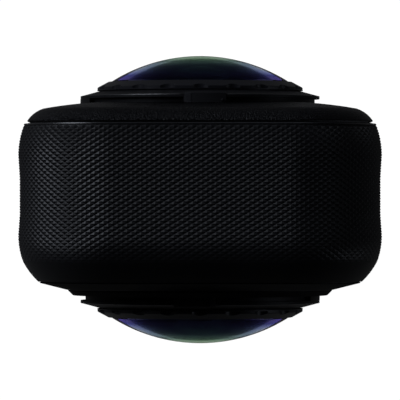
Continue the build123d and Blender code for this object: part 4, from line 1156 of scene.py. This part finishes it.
@dataclass
class Keys:
    """The four keys with the smooth pods round the side ones, in millimetres."""

    side_keys: tuple[tuple[str, float], ...] = (("quick_button", 66.0), ("power_button", 76.0))
    side_y: float = 0.4
    side_face: float = 22.94
    side_half: Pair = (1.6, 3.5)
    side_steps: Pairs = (
        (0.6, -3.09), (0.6, -2.6), (0.0, -2.5), (0.0, -0.2), (-0.07, -0.06), (-0.2, 0.0), (-0.5, -0.03),
        (-0.8, -0.1),
    )
    ring_mark: Outline = disc(0.62)
    ring_steps: Pairs = ((0.0, -0.16), (0.0, -0.03), (-0.16, -0.03), (-0.16, -0.16))
    bar_mark: Outline = Outline(0.2, 0.75, 0.2)
    bar_steps: Pairs = ((0.0, -0.16), (0.0, -0.05), (-0.05, -0.03))
    pod_gap: float = 0.15
    pod_steps: Pairs = (
        (0.0, -1.2), (0.0, -0.1), (0.1, -0.01), (0.4, 0.0), (0.65, -0.03), (0.85, -0.12), (0.9, -0.3),
        (0.9, -1.2),
    )
    front_face: float = -11.75
    front_height: float = 19.0
    front_steps: Pairs = (
        (0.67, -2.05), (0.67, -1.57), (0.0, -1.5), (0.0, -0.26), (-0.08, -0.08), (-0.26, 0.0), (-0.85, 0.0),
        (-1.0, -0.14),
    )
    dish_steps: Pairs = ((-1.5, -0.2), (-2.6, -0.24))
    shutter_x: float = -6.6
    shutter_outline: Outline = disc(4.4, 24)
    shutter_mark: Outline = disc(1.1, 16)
    shutter_mark_steps: Pairs = ((0.0, -0.3), (0.0, -0.16), (-0.05, -0.13), (-0.2, -0.12))
    red: Finish = Finish("shutter mark", (0.22, 0.012, 0.01), 0.4, grain_size=0.12)
    lens_x: float = 7.4
    lens_outline: Outline = Outline(4.2, 2.3, 2.3)
    lens_mark: Outline = disc(0.6)
    lens_mark_offset: float = 0.55
    lens_mark_steps: Pairs = ((0.0, -0.2), (0.0, -0.09), (-0.14, -0.09), (-0.14, -0.2))

    def side_key(self, node: str, height: float) -> None:
        """One side key with its mark and its pod.

        Args:
            node: The CAD node that the key takes the place of, which is also its body.
            height: The height of its middle.
        """
        accent = node == "power_button"
        slot = "accent_key" if accent else "key"
        mark, steps = (self.ring_mark, self.ring_steps) if accent else (self.bar_mark, self.bar_steps)
        across, up = self.side_half
        centre = (self.side_face, self.side_y, height)
        cap = Relief(f"{node}_cap", Wall.RIGHT, centre, Outline(across, up, across), self.side_steps)
        cap.put(FINISHES[slot], node, slot, node)
        Relief(f"{node}_mark", Wall.RIGHT, centre, mark, steps, accent).put(FINISHES["lens_ring"], node, slot)
        outline = Outline(across + self.pod_gap, up + self.pod_gap, across + self.pod_gap)
        centre = (SIDE_FACE, self.side_y, height)
        pod = Relief(f"{node}_pod", Wall.RIGHT, centre, outline, self.pod_steps, True)
        pod.put(FINISHES["frame"], "casing", "frame")

    def front(self, name: str, x: float, outline: Outline, steps: Pairs, closed: bool = False) -> Relief:
        """A piece of a front key, at its place across."""
        return Relief(name, Wall.FRONT, (x, self.front_face, self.front_height), outline, steps, closed)

    def dress(self) -> None:
        """Build the side keys, the shutter key and the lens key."""
        for node, height in self.side_keys:
            self.side_key(node, height)
        dished = self.front_steps + self.dish_steps
        shutter = self.front("shutter_cap", self.shutter_x, self.shutter_outline, dished)
        shutter.put(FINISHES["accent_key"], "shutter_button", "accent_key", "shutter_button")
        mark = self.front("shutter_mark", self.shutter_x, self.shutter_mark, self.shutter_mark_steps)
        mark.put(self.red, "shutter_button", "accent_key")
        lens = self.front("lens_key_cap", self.lens_x, self.lens_outline, self.front_steps)
        lens.put(FINISHES["key"], "lens_button", "key", "lens_button")
        for side in (-1, 1):
            place = self.lens_x + self.lens_mark_offset * side
            mark = self.front(f"lens_key_mark_{side + 1}", place, self.lens_mark, self.lens_mark_steps, True)
            mark.put(FINISHES["lens_ring"], "lens_button", "key")


@dataclass
class SideFittings:
    """The speaker's grille, the microphones' rings and the frame round the battery latch, in millimetres."""

    speaker_y: float = 0.9
    speaker_z: float = 62.7
    speaker_corner: float = 0.3
    speaker_steps: Pairs = (
        (0.0, -1.15), (0.0, -0.1), (0.08, 0.0), (0.5, -0.01), (0.72, -0.08), (0.8, -0.25), (0.8, -1.15),
    )
    slit_length: float = 5.6
    slit_width: float = 0.8
    slit_pitch: float = 1.7
    slit_count: int = 4
    bar_overlap: float = 0.05
    bar_corner: float = 0.08
    bar_corner_steps: int = 4
    bar_steps: Pairs = ((0.0, -0.9), (0.0, -0.1), (-0.07, -0.02))
    wire: float = 0.13
    wire_pitch: float = 0.32
    wire_faces: Pair = (-21.92, -21.99)
    microphone_z: float = 85.6
    microphone_outline: Outline = disc(0.45)
    microphone_steps: Pairs = (
        (0.0, -1.1), (0.0, -0.12), (0.1, -0.02), (0.6, 0.0), (0.82, -0.08), (0.88, -0.25), (0.88, -1.1),
    )
    latch_centre: Triple = (SIDE_FACE, 0.7, 48.85)
    latch_outline: Outline = Outline(1.7, 4.2, 0.5)
    latch_steps: Pairs = (
        (0.0, -1.1), (0.0, -0.1), (0.08, 0.0), (0.45, -0.01), (0.64, -0.1), (0.7, -0.28), (0.7, -1.1),
    )

    def speaker(self) -> None:
        """A rim and bars over a fine wire mesh."""
        plastic = FINISHES["frame"]
        y, z = self.speaker_y, self.speaker_z
        half_across = self.slit_length / 2
        half_up = (self.slit_count - 1) / 2 * self.slit_pitch + self.slit_width / 2
        outline = Outline(half_across, half_up, self.speaker_corner)
        rim = Relief("speaker_rim", Wall.LEFT, (-SIDE_FACE, y, z), outline, self.speaker_steps, True)
        rim.put(plastic, "casing", "frame")
        half_bar = (self.slit_pitch - self.slit_width) / 2
        outline = Outline(half_across + self.bar_overlap, half_bar, self.bar_corner, self.bar_corner_steps)
        for number in range(self.slit_count - 1):
            centre = (-SIDE_FACE, y, z + (number - (self.slit_count - 2) / 2) * self.slit_pitch)
            bar = Relief(f"speaker_bar_{number}", Wall.LEFT, centre, outline, self.bar_steps)
            bar.put(plastic, "casing", "frame")
        spans = []
        for row in range(int(2 * half_up / self.wire_pitch) + 1):
            centre = (self.wire_faces[0], y, z - half_up + row * self.wire_pitch)
            spans.append((centre, (self.wire, self.slit_length, self.wire)))
        for column in range(int(self.slit_length / self.wire_pitch) + 1):
            centre = (self.wire_faces[1], y - half_across + column * self.wire_pitch, z)
            spans.append((centre, (self.wire, self.wire, 2 * half_up)))
        # painted shade: the wire mesh behind the slits takes the ring's dark finish in place of steel
        keep(boxes("speaker_mesh", spans), "speaker_mesh", FINISHES["lens_ring"], "casing", "steel")

    def dress(self) -> None:
        """Build the speaker's grille and the rings."""
        self.speaker()
        for wall, side in ((Wall.RIGHT, 1), (Wall.LEFT, -1)):
            name = f"microphone_ring_{wall.name.lower()}"
            centre = (side * SIDE_FACE, 0.0, self.microphone_z)
            ring = Relief(name, wall, centre, self.microphone_outline, self.microphone_steps, True)
            ring.put(FINISHES["frame"], "casing", "frame")
        centre, outline = self.latch_centre, self.latch_outline
        latch = Relief("latch_frame", Wall.RIGHT, centre, outline, self.latch_steps, True)
        latch.put(FINISHES["frame"], "battery", "frame")


@dataclass
class Screen:
    """The polished glass with its rounded edge, in millimetres."""

    centre: Triple = (0.0, -11.45, 55.85)
    outline: Outline = Outline(16.4, 26.25, 2.4, 16)
    steps: Pairs = ((0.0, -0.8), (0.0, -0.13), (-0.04, -0.05), (-0.14, 0.0))
    display_half: Pair = (14.85, 24.7)

    def dress(self) -> None:
        """Build the glass."""
        across, up = self.display_half
        glass = ScreenGlass("screen glass over display", self.centre[2] * MM, across * MM, up * MM)
        pane = Relief("screen_pane", Wall.FRONT, self.centre, self.outline, self.steps)
        pane.put(glass, "casing", "screen", "screen_glass")


@dataclass
class Base:
    """The tripod thread and the base screws, in millimetres."""

    bore_radius: float = 3.18
    root: float = 0.05
    pitch: float = 1.27
    thread_height: float = 0.6
    thread_low: float = 0.7
    thread_high: float = 6.9
    root_share: float = 0.45
    crest_half: float = 0.08
    turn_steps: int = 48
    fade_steps: int = 12
    least_height: float = 0.05
    screw_x: float = 10.0
    screw_steps: int = 72
    head_radius: float = 1.5
    head_low: float = 0.1
    head_high: float = 0.5
    head_bevel: float = 0.1
    shank_radius: float = 0.8
    shank_high: float = 3.0
    socket_radius: float = 0.78
    socket_taper: float = 0.92
    socket_depth: float = 0.3
    lobes: int = 6
    lobe_share: float = 0.14

    def thread(self) -> None:
        """The helical ridge inside the bush, which fades out at both ends."""
        total = int((self.thread_high - self.thread_low) / self.pitch * self.turn_steps)
        outer = self.bore_radius + self.root
        half_root, half_crest = self.root_share * self.pitch, self.crest_half
        loops = []
        for index in range(total + 1):
            angle = math.tau * index / self.turn_steps
            height = self.thread_low + self.pitch * index / self.turn_steps
            fade = min(1.0, index / self.fade_steps, (total - index) / self.fade_steps)
            crest = self.bore_radius - self.thread_height * max(fade, self.least_height)
            corners = ((outer, -half_root), (crest, -half_crest), (crest, half_crest), (outer, half_root))
            loops.append([Vector((*polar(radius, angle), height + rise)) for radius, rise in corners])
        name = "tripod_thread_ridge"
        keep(loft(name, loops), name, FINISHES["steel"], "casing", "steel")

    def screws(self) -> None:
        """The two base screws with their lobed sockets."""
        stations = (
            (self.shank_radius, self.shank_high, 0.0),
            (self.shank_radius, self.head_high, 0.0),
            (self.head_radius, self.head_high, 0.0),
            (self.head_radius, self.head_low + self.head_bevel, 0.0),
            (self.head_radius - self.head_bevel, self.head_low, 0.0),
            (self.socket_radius, self.head_low, self.lobe_share),
            (self.socket_radius * self.socket_taper, self.head_low + self.socket_depth, self.lobe_share),
        )
        for side, node in ((-1, "base_screws"), (1, None)):
            loops = []
            for radius, height, wave in stations:
                loop = []
                for step in range(self.screw_steps):
                    angle = math.tau * step / self.screw_steps
                    x, y = polar(radius * (1 + wave * math.cos(self.lobes * angle)), angle)
                    loop.append(Vector((side * self.screw_x + x, y, height)))
                loops.append(loop)
            name = f"base_screw_{side + 1}"
            keep(loft(name, loops), name, FINISHES["steel"], "casing", "steel", node)

    def dress(self) -> None:
        """Build the thread and the screws."""
        self.thread()
        self.screws()


@dataclass
class Contacts:
    """Gold pads of the socket and of the memory card, in millimetres."""

    socket_centre: Triple = (-17.4, -0.3, 76.0)
    socket_pads: int = 12
    socket_pitch: float = 0.5
    socket_pad: Triple = (3.2, 0.04, 0.28)
    tongue_half: float = 0.36
    card_centre: Triple = (6.4, 1.0, 53.29)
    card_pads: int = 8
    card_pitch: float = 1.2
    card_pad: Triple = (2.9, 0.85, 0.04)

    def row(self, count: int, pitch: float) -> list[float]:
        """How far each of a row's pads stands from its middle."""
        return [(number - (count - 1) / 2) * pitch for number in range(count)]

    def dress(self) -> None:
        """Build the pads."""
        spans = []
        x, y, z = self.socket_centre
        for face in (-1, 1):
            for off in self.row(self.socket_pads, self.socket_pitch):
                spans.append(((x, y + face * self.tongue_half, z + off), self.socket_pad))
        keep(boxes("socket_pads", spans), "socket_pads", FINISHES["copper"], "casing", "copper")
        x, y, z = self.card_centre
        spans = [((x, y + off, z), self.card_pad) for off in self.row(self.card_pads, self.card_pitch)]
        keep(boxes("card_pads", spans), "card_pads", FINISHES["copper"], "memory_card", "copper")


FINISHES = {
    "frame": Finish("frame plastic", (0.0024, 0.0024, 0.0028), 0.45, grain_size=0.18, specular=0.12),
    "shell": Finish("grained shell", (0.0014, 0.0014, 0.0017), 0.28, Grain.LEATHER, 0.19, 0.3, specular=0.04),
    "cover": Finish("satin cover", (0.002, 0.002, 0.0023), 0.55, Grain.SATIN, 0.15, 0.006, specular=0.02),
    "screen": Finish(
        "screen glass", (0.004, 0.004, 0.005), 0.05, Grain.POLISHED, coat=1.0, gloss_spread=0.01
    ),
    "lens_base": Finish(
        "base ring plastic", (0.003, 0.003, 0.0034), 0.42, Grain.SATIN, 0.16, 0.008, specular=0.035
    ),
    "lens_ring": Finish(
        "anodised ring", (0.0052, 0.0052, 0.0062), 0.32, grain_size=0.1, metallic=0.15, specular=0.05
    ),
    "lens_inner": Finish(
        "inner glass", (0.3, 0.35, 0.45), 0.04, Grain.POLISHED,
        metallic=0.6, transmission=1.0, gloss_spread=0.01,
    ),
    "barrel": Finish("barrel black", (0.003, 0.003, 0.0035), 0.7, grain_size=0.1, specular=0.1),
    "seal": Finish("soft seal", (0.012, 0.012, 0.012), 0.7, grain_size=0.2),
    "key": Finish("key plastic", (0.006, 0.006, 0.007), 0.4, grain_size=0.14, specular=0.25),
    "accent_key": Finish("accent key", (0.01, 0.01, 0.0115), 0.36, grain_size=0.14, specular=0.3),
    "latch": Finish("orange latch", (0.36, 0.09, 0.02), 0.4, grain_size=0.14),
    "steel": Finish("plain steel", (0.5, 0.5, 0.51), 0.3, Grain.BRUSHED, 0.08, 0.004, metallic=1.0),
    "base_metal": Finish("anodised base", (0.05, 0.05, 0.055), 0.38, grain_size=0.1, metallic=0.7),
    "copper": Finish("gold contact", (0.72, 0.5, 0.22), 0.25, Grain.BRUSHED, 0.06, 0.003, metallic=1.0),
    "heat": Finish("rolled aluminium", (0.68, 0.68, 0.7), 0.35, Grain.BRUSHED, 0.08, 0.004, metallic=1.0),
    "board": Finish("circuit board", (0.008, 0.055, 0.03), 0.3, grain_size=0.25, coat=0.4),
    "chip": Finish("chip glass", (0.035, 0.03, 0.06), 0.15, Grain.POLISHED, coat=0.6),
    "battery": Finish("battery case", (0.055, 0.055, 0.06), 0.45, grain_size=0.2),
    "card": Finish("card plastic", (0.035, 0.035, 0.04), 0.4, grain_size=0.2),
    "light": Finish("frosted guide", (0.2, 0.21, 0.22), 0.35, grain_size=0.1),
}


def dress_cad_nodes() -> None:
    """Give every carried-over CAD node the finish of its material slot, and the steel microphones the
    barrel's black, as painted shade down their holes.
    """
    for entry in frame["record"]["subparts"]:
        # painted shade: the steel microphones under their holes take the barrel's black
        slot = "barrel" if entry["node"] == "microphones" else entry["material_slot"]
        if slot in FINISHES:
            materials = frame["nodes"][entry["node"]].data.materials
            materials.clear()
            materials.append(FINISHES[slot].material())


@dataclass
class Studio:
    """The pale floor, the backdrop, the lamps and the camera over the lens end.

    Places and sizes are in metres, powers in watts, and the focal length and the sensor in millimetres.
    """

    eye: Triple = (-0.00001, -0.00005, 0.6835)
    focal: float = 407.0
    sensor: float = 36.0
    near_clip: float = 0.01
    floor_size: float = 12.0
    floor_gap: float = 0.0002
    backdrop: Triple = (1.0, 1.0, 1.0)
    mirrored_rise: float = 0.12
    ambient: float = 0.018
    aim: Triple = (0.0, 0.0, 0.09)
    cool: Triple = (0.82, 0.88, 1.0)
    lamps: tuple[tuple[str, Triple, Pair, float], ...] = (
        ("key", (-1.06, 0.76, 0.64), (1.0, 0.8), 29.0),
        ("fill", (0.35, 0.9, 1.1), (0.6, 0.6), 1.5),
        ("rim", (1.3, -0.1, 0.3), (0.4, 0.9), 2.4),
    )

    def camera(self) -> None:
        """Stand the camera on the axis, looking straight down."""
        data = bpy.data.cameras.new("camera")
        data.lens = self.focal
        data.sensor_width = self.sensor
        data.clip_start = self.near_clip
        camera = add("camera", data)
        camera.location = self.eye
        bpy.context.scene.camera = camera

    def floor(self) -> None:
        """Lay the floor."""
        shape = bmesh.new()
        bmesh.ops.create_grid(shape, x_segments=1, y_segments=1, size=self.floor_size / 2)
        mesh = mesh_of(shape, "floor", welded=False)
        mesh.materials.append(PaleFloor("pale floor").material())
        floor = add("floor", mesh)
        floor.location.z = -self.floor_gap

    def world(self) -> None:
        """White to the camera, dim to low reflections, and a dim even light on the object."""
        world = bpy.data.worlds.new("studio")
        bpy.context.scene.world = world
        world.use_nodes = True
        w = Wiring(world.node_tree)
        path = w.node("ShaderNodeLightPath").outputs
        heading = w.parts(w.node("ShaderNodeTexCoord").outputs["Generated"])
        low = w.span(heading["Z"], 0.0, self.mirrored_rise, MIRRORED, 0.0)
        mirrored = w.product(path["Is Glossy Ray"], low)
        lit = w.product(path["Is Diffuse Ray"], self.ambient)
        strength = w.largest(path["Is Camera Ray"], path["Is Transmission Ray"], mirrored, lit)
        w.fill(world.node_tree.nodes["Background"], {"Color": tinted(self.backdrop), "Strength": strength})

    def lamp(self, name: str, place: Triple, size: Pair, power: float) -> None:
        """Hang a soft rectangular lamp that faces the object.

        Args:
            name: The lamp's name.
            place: Where it hangs.
            size: Its width and height.
            power: Its power.
        """
        data = bpy.data.lights.new(name, "AREA")
        data.shape = "RECTANGLE"
        data.size, data.size_y = size
        data.energy = power
        data.color = self.cool
        lamp = add(name, data)
        lamp.location = place
        lamp.rotation_mode = "QUATERNION"
        lamp.rotation_quaternion = (Vector(self.aim) - Vector(place)).to_track_quat("-Z", "Y")

    def dress(self) -> None:
        """Set up the whole studio."""
        bpy.context.scene.view_settings.view_transform = "Standard"
        self.camera()
        self.floor()
        self.world()
        for lamp in self.lamps:
            self.lamp(*lamp)


def main() -> None:
    """Build every sub-assembly in order."""
    dress_cad_nodes()
    Grip().dress()
    for side in Side:
        Lens(side).dress()
        LensBase(side).dress()
    for assembly in (Trim, Keys, SideFittings, Screen, Base, Contacts, Studio):
        assembly().dress()
        log.info("%s is in place", assembly.__name__)


if __name__ == "__main__":
    main()
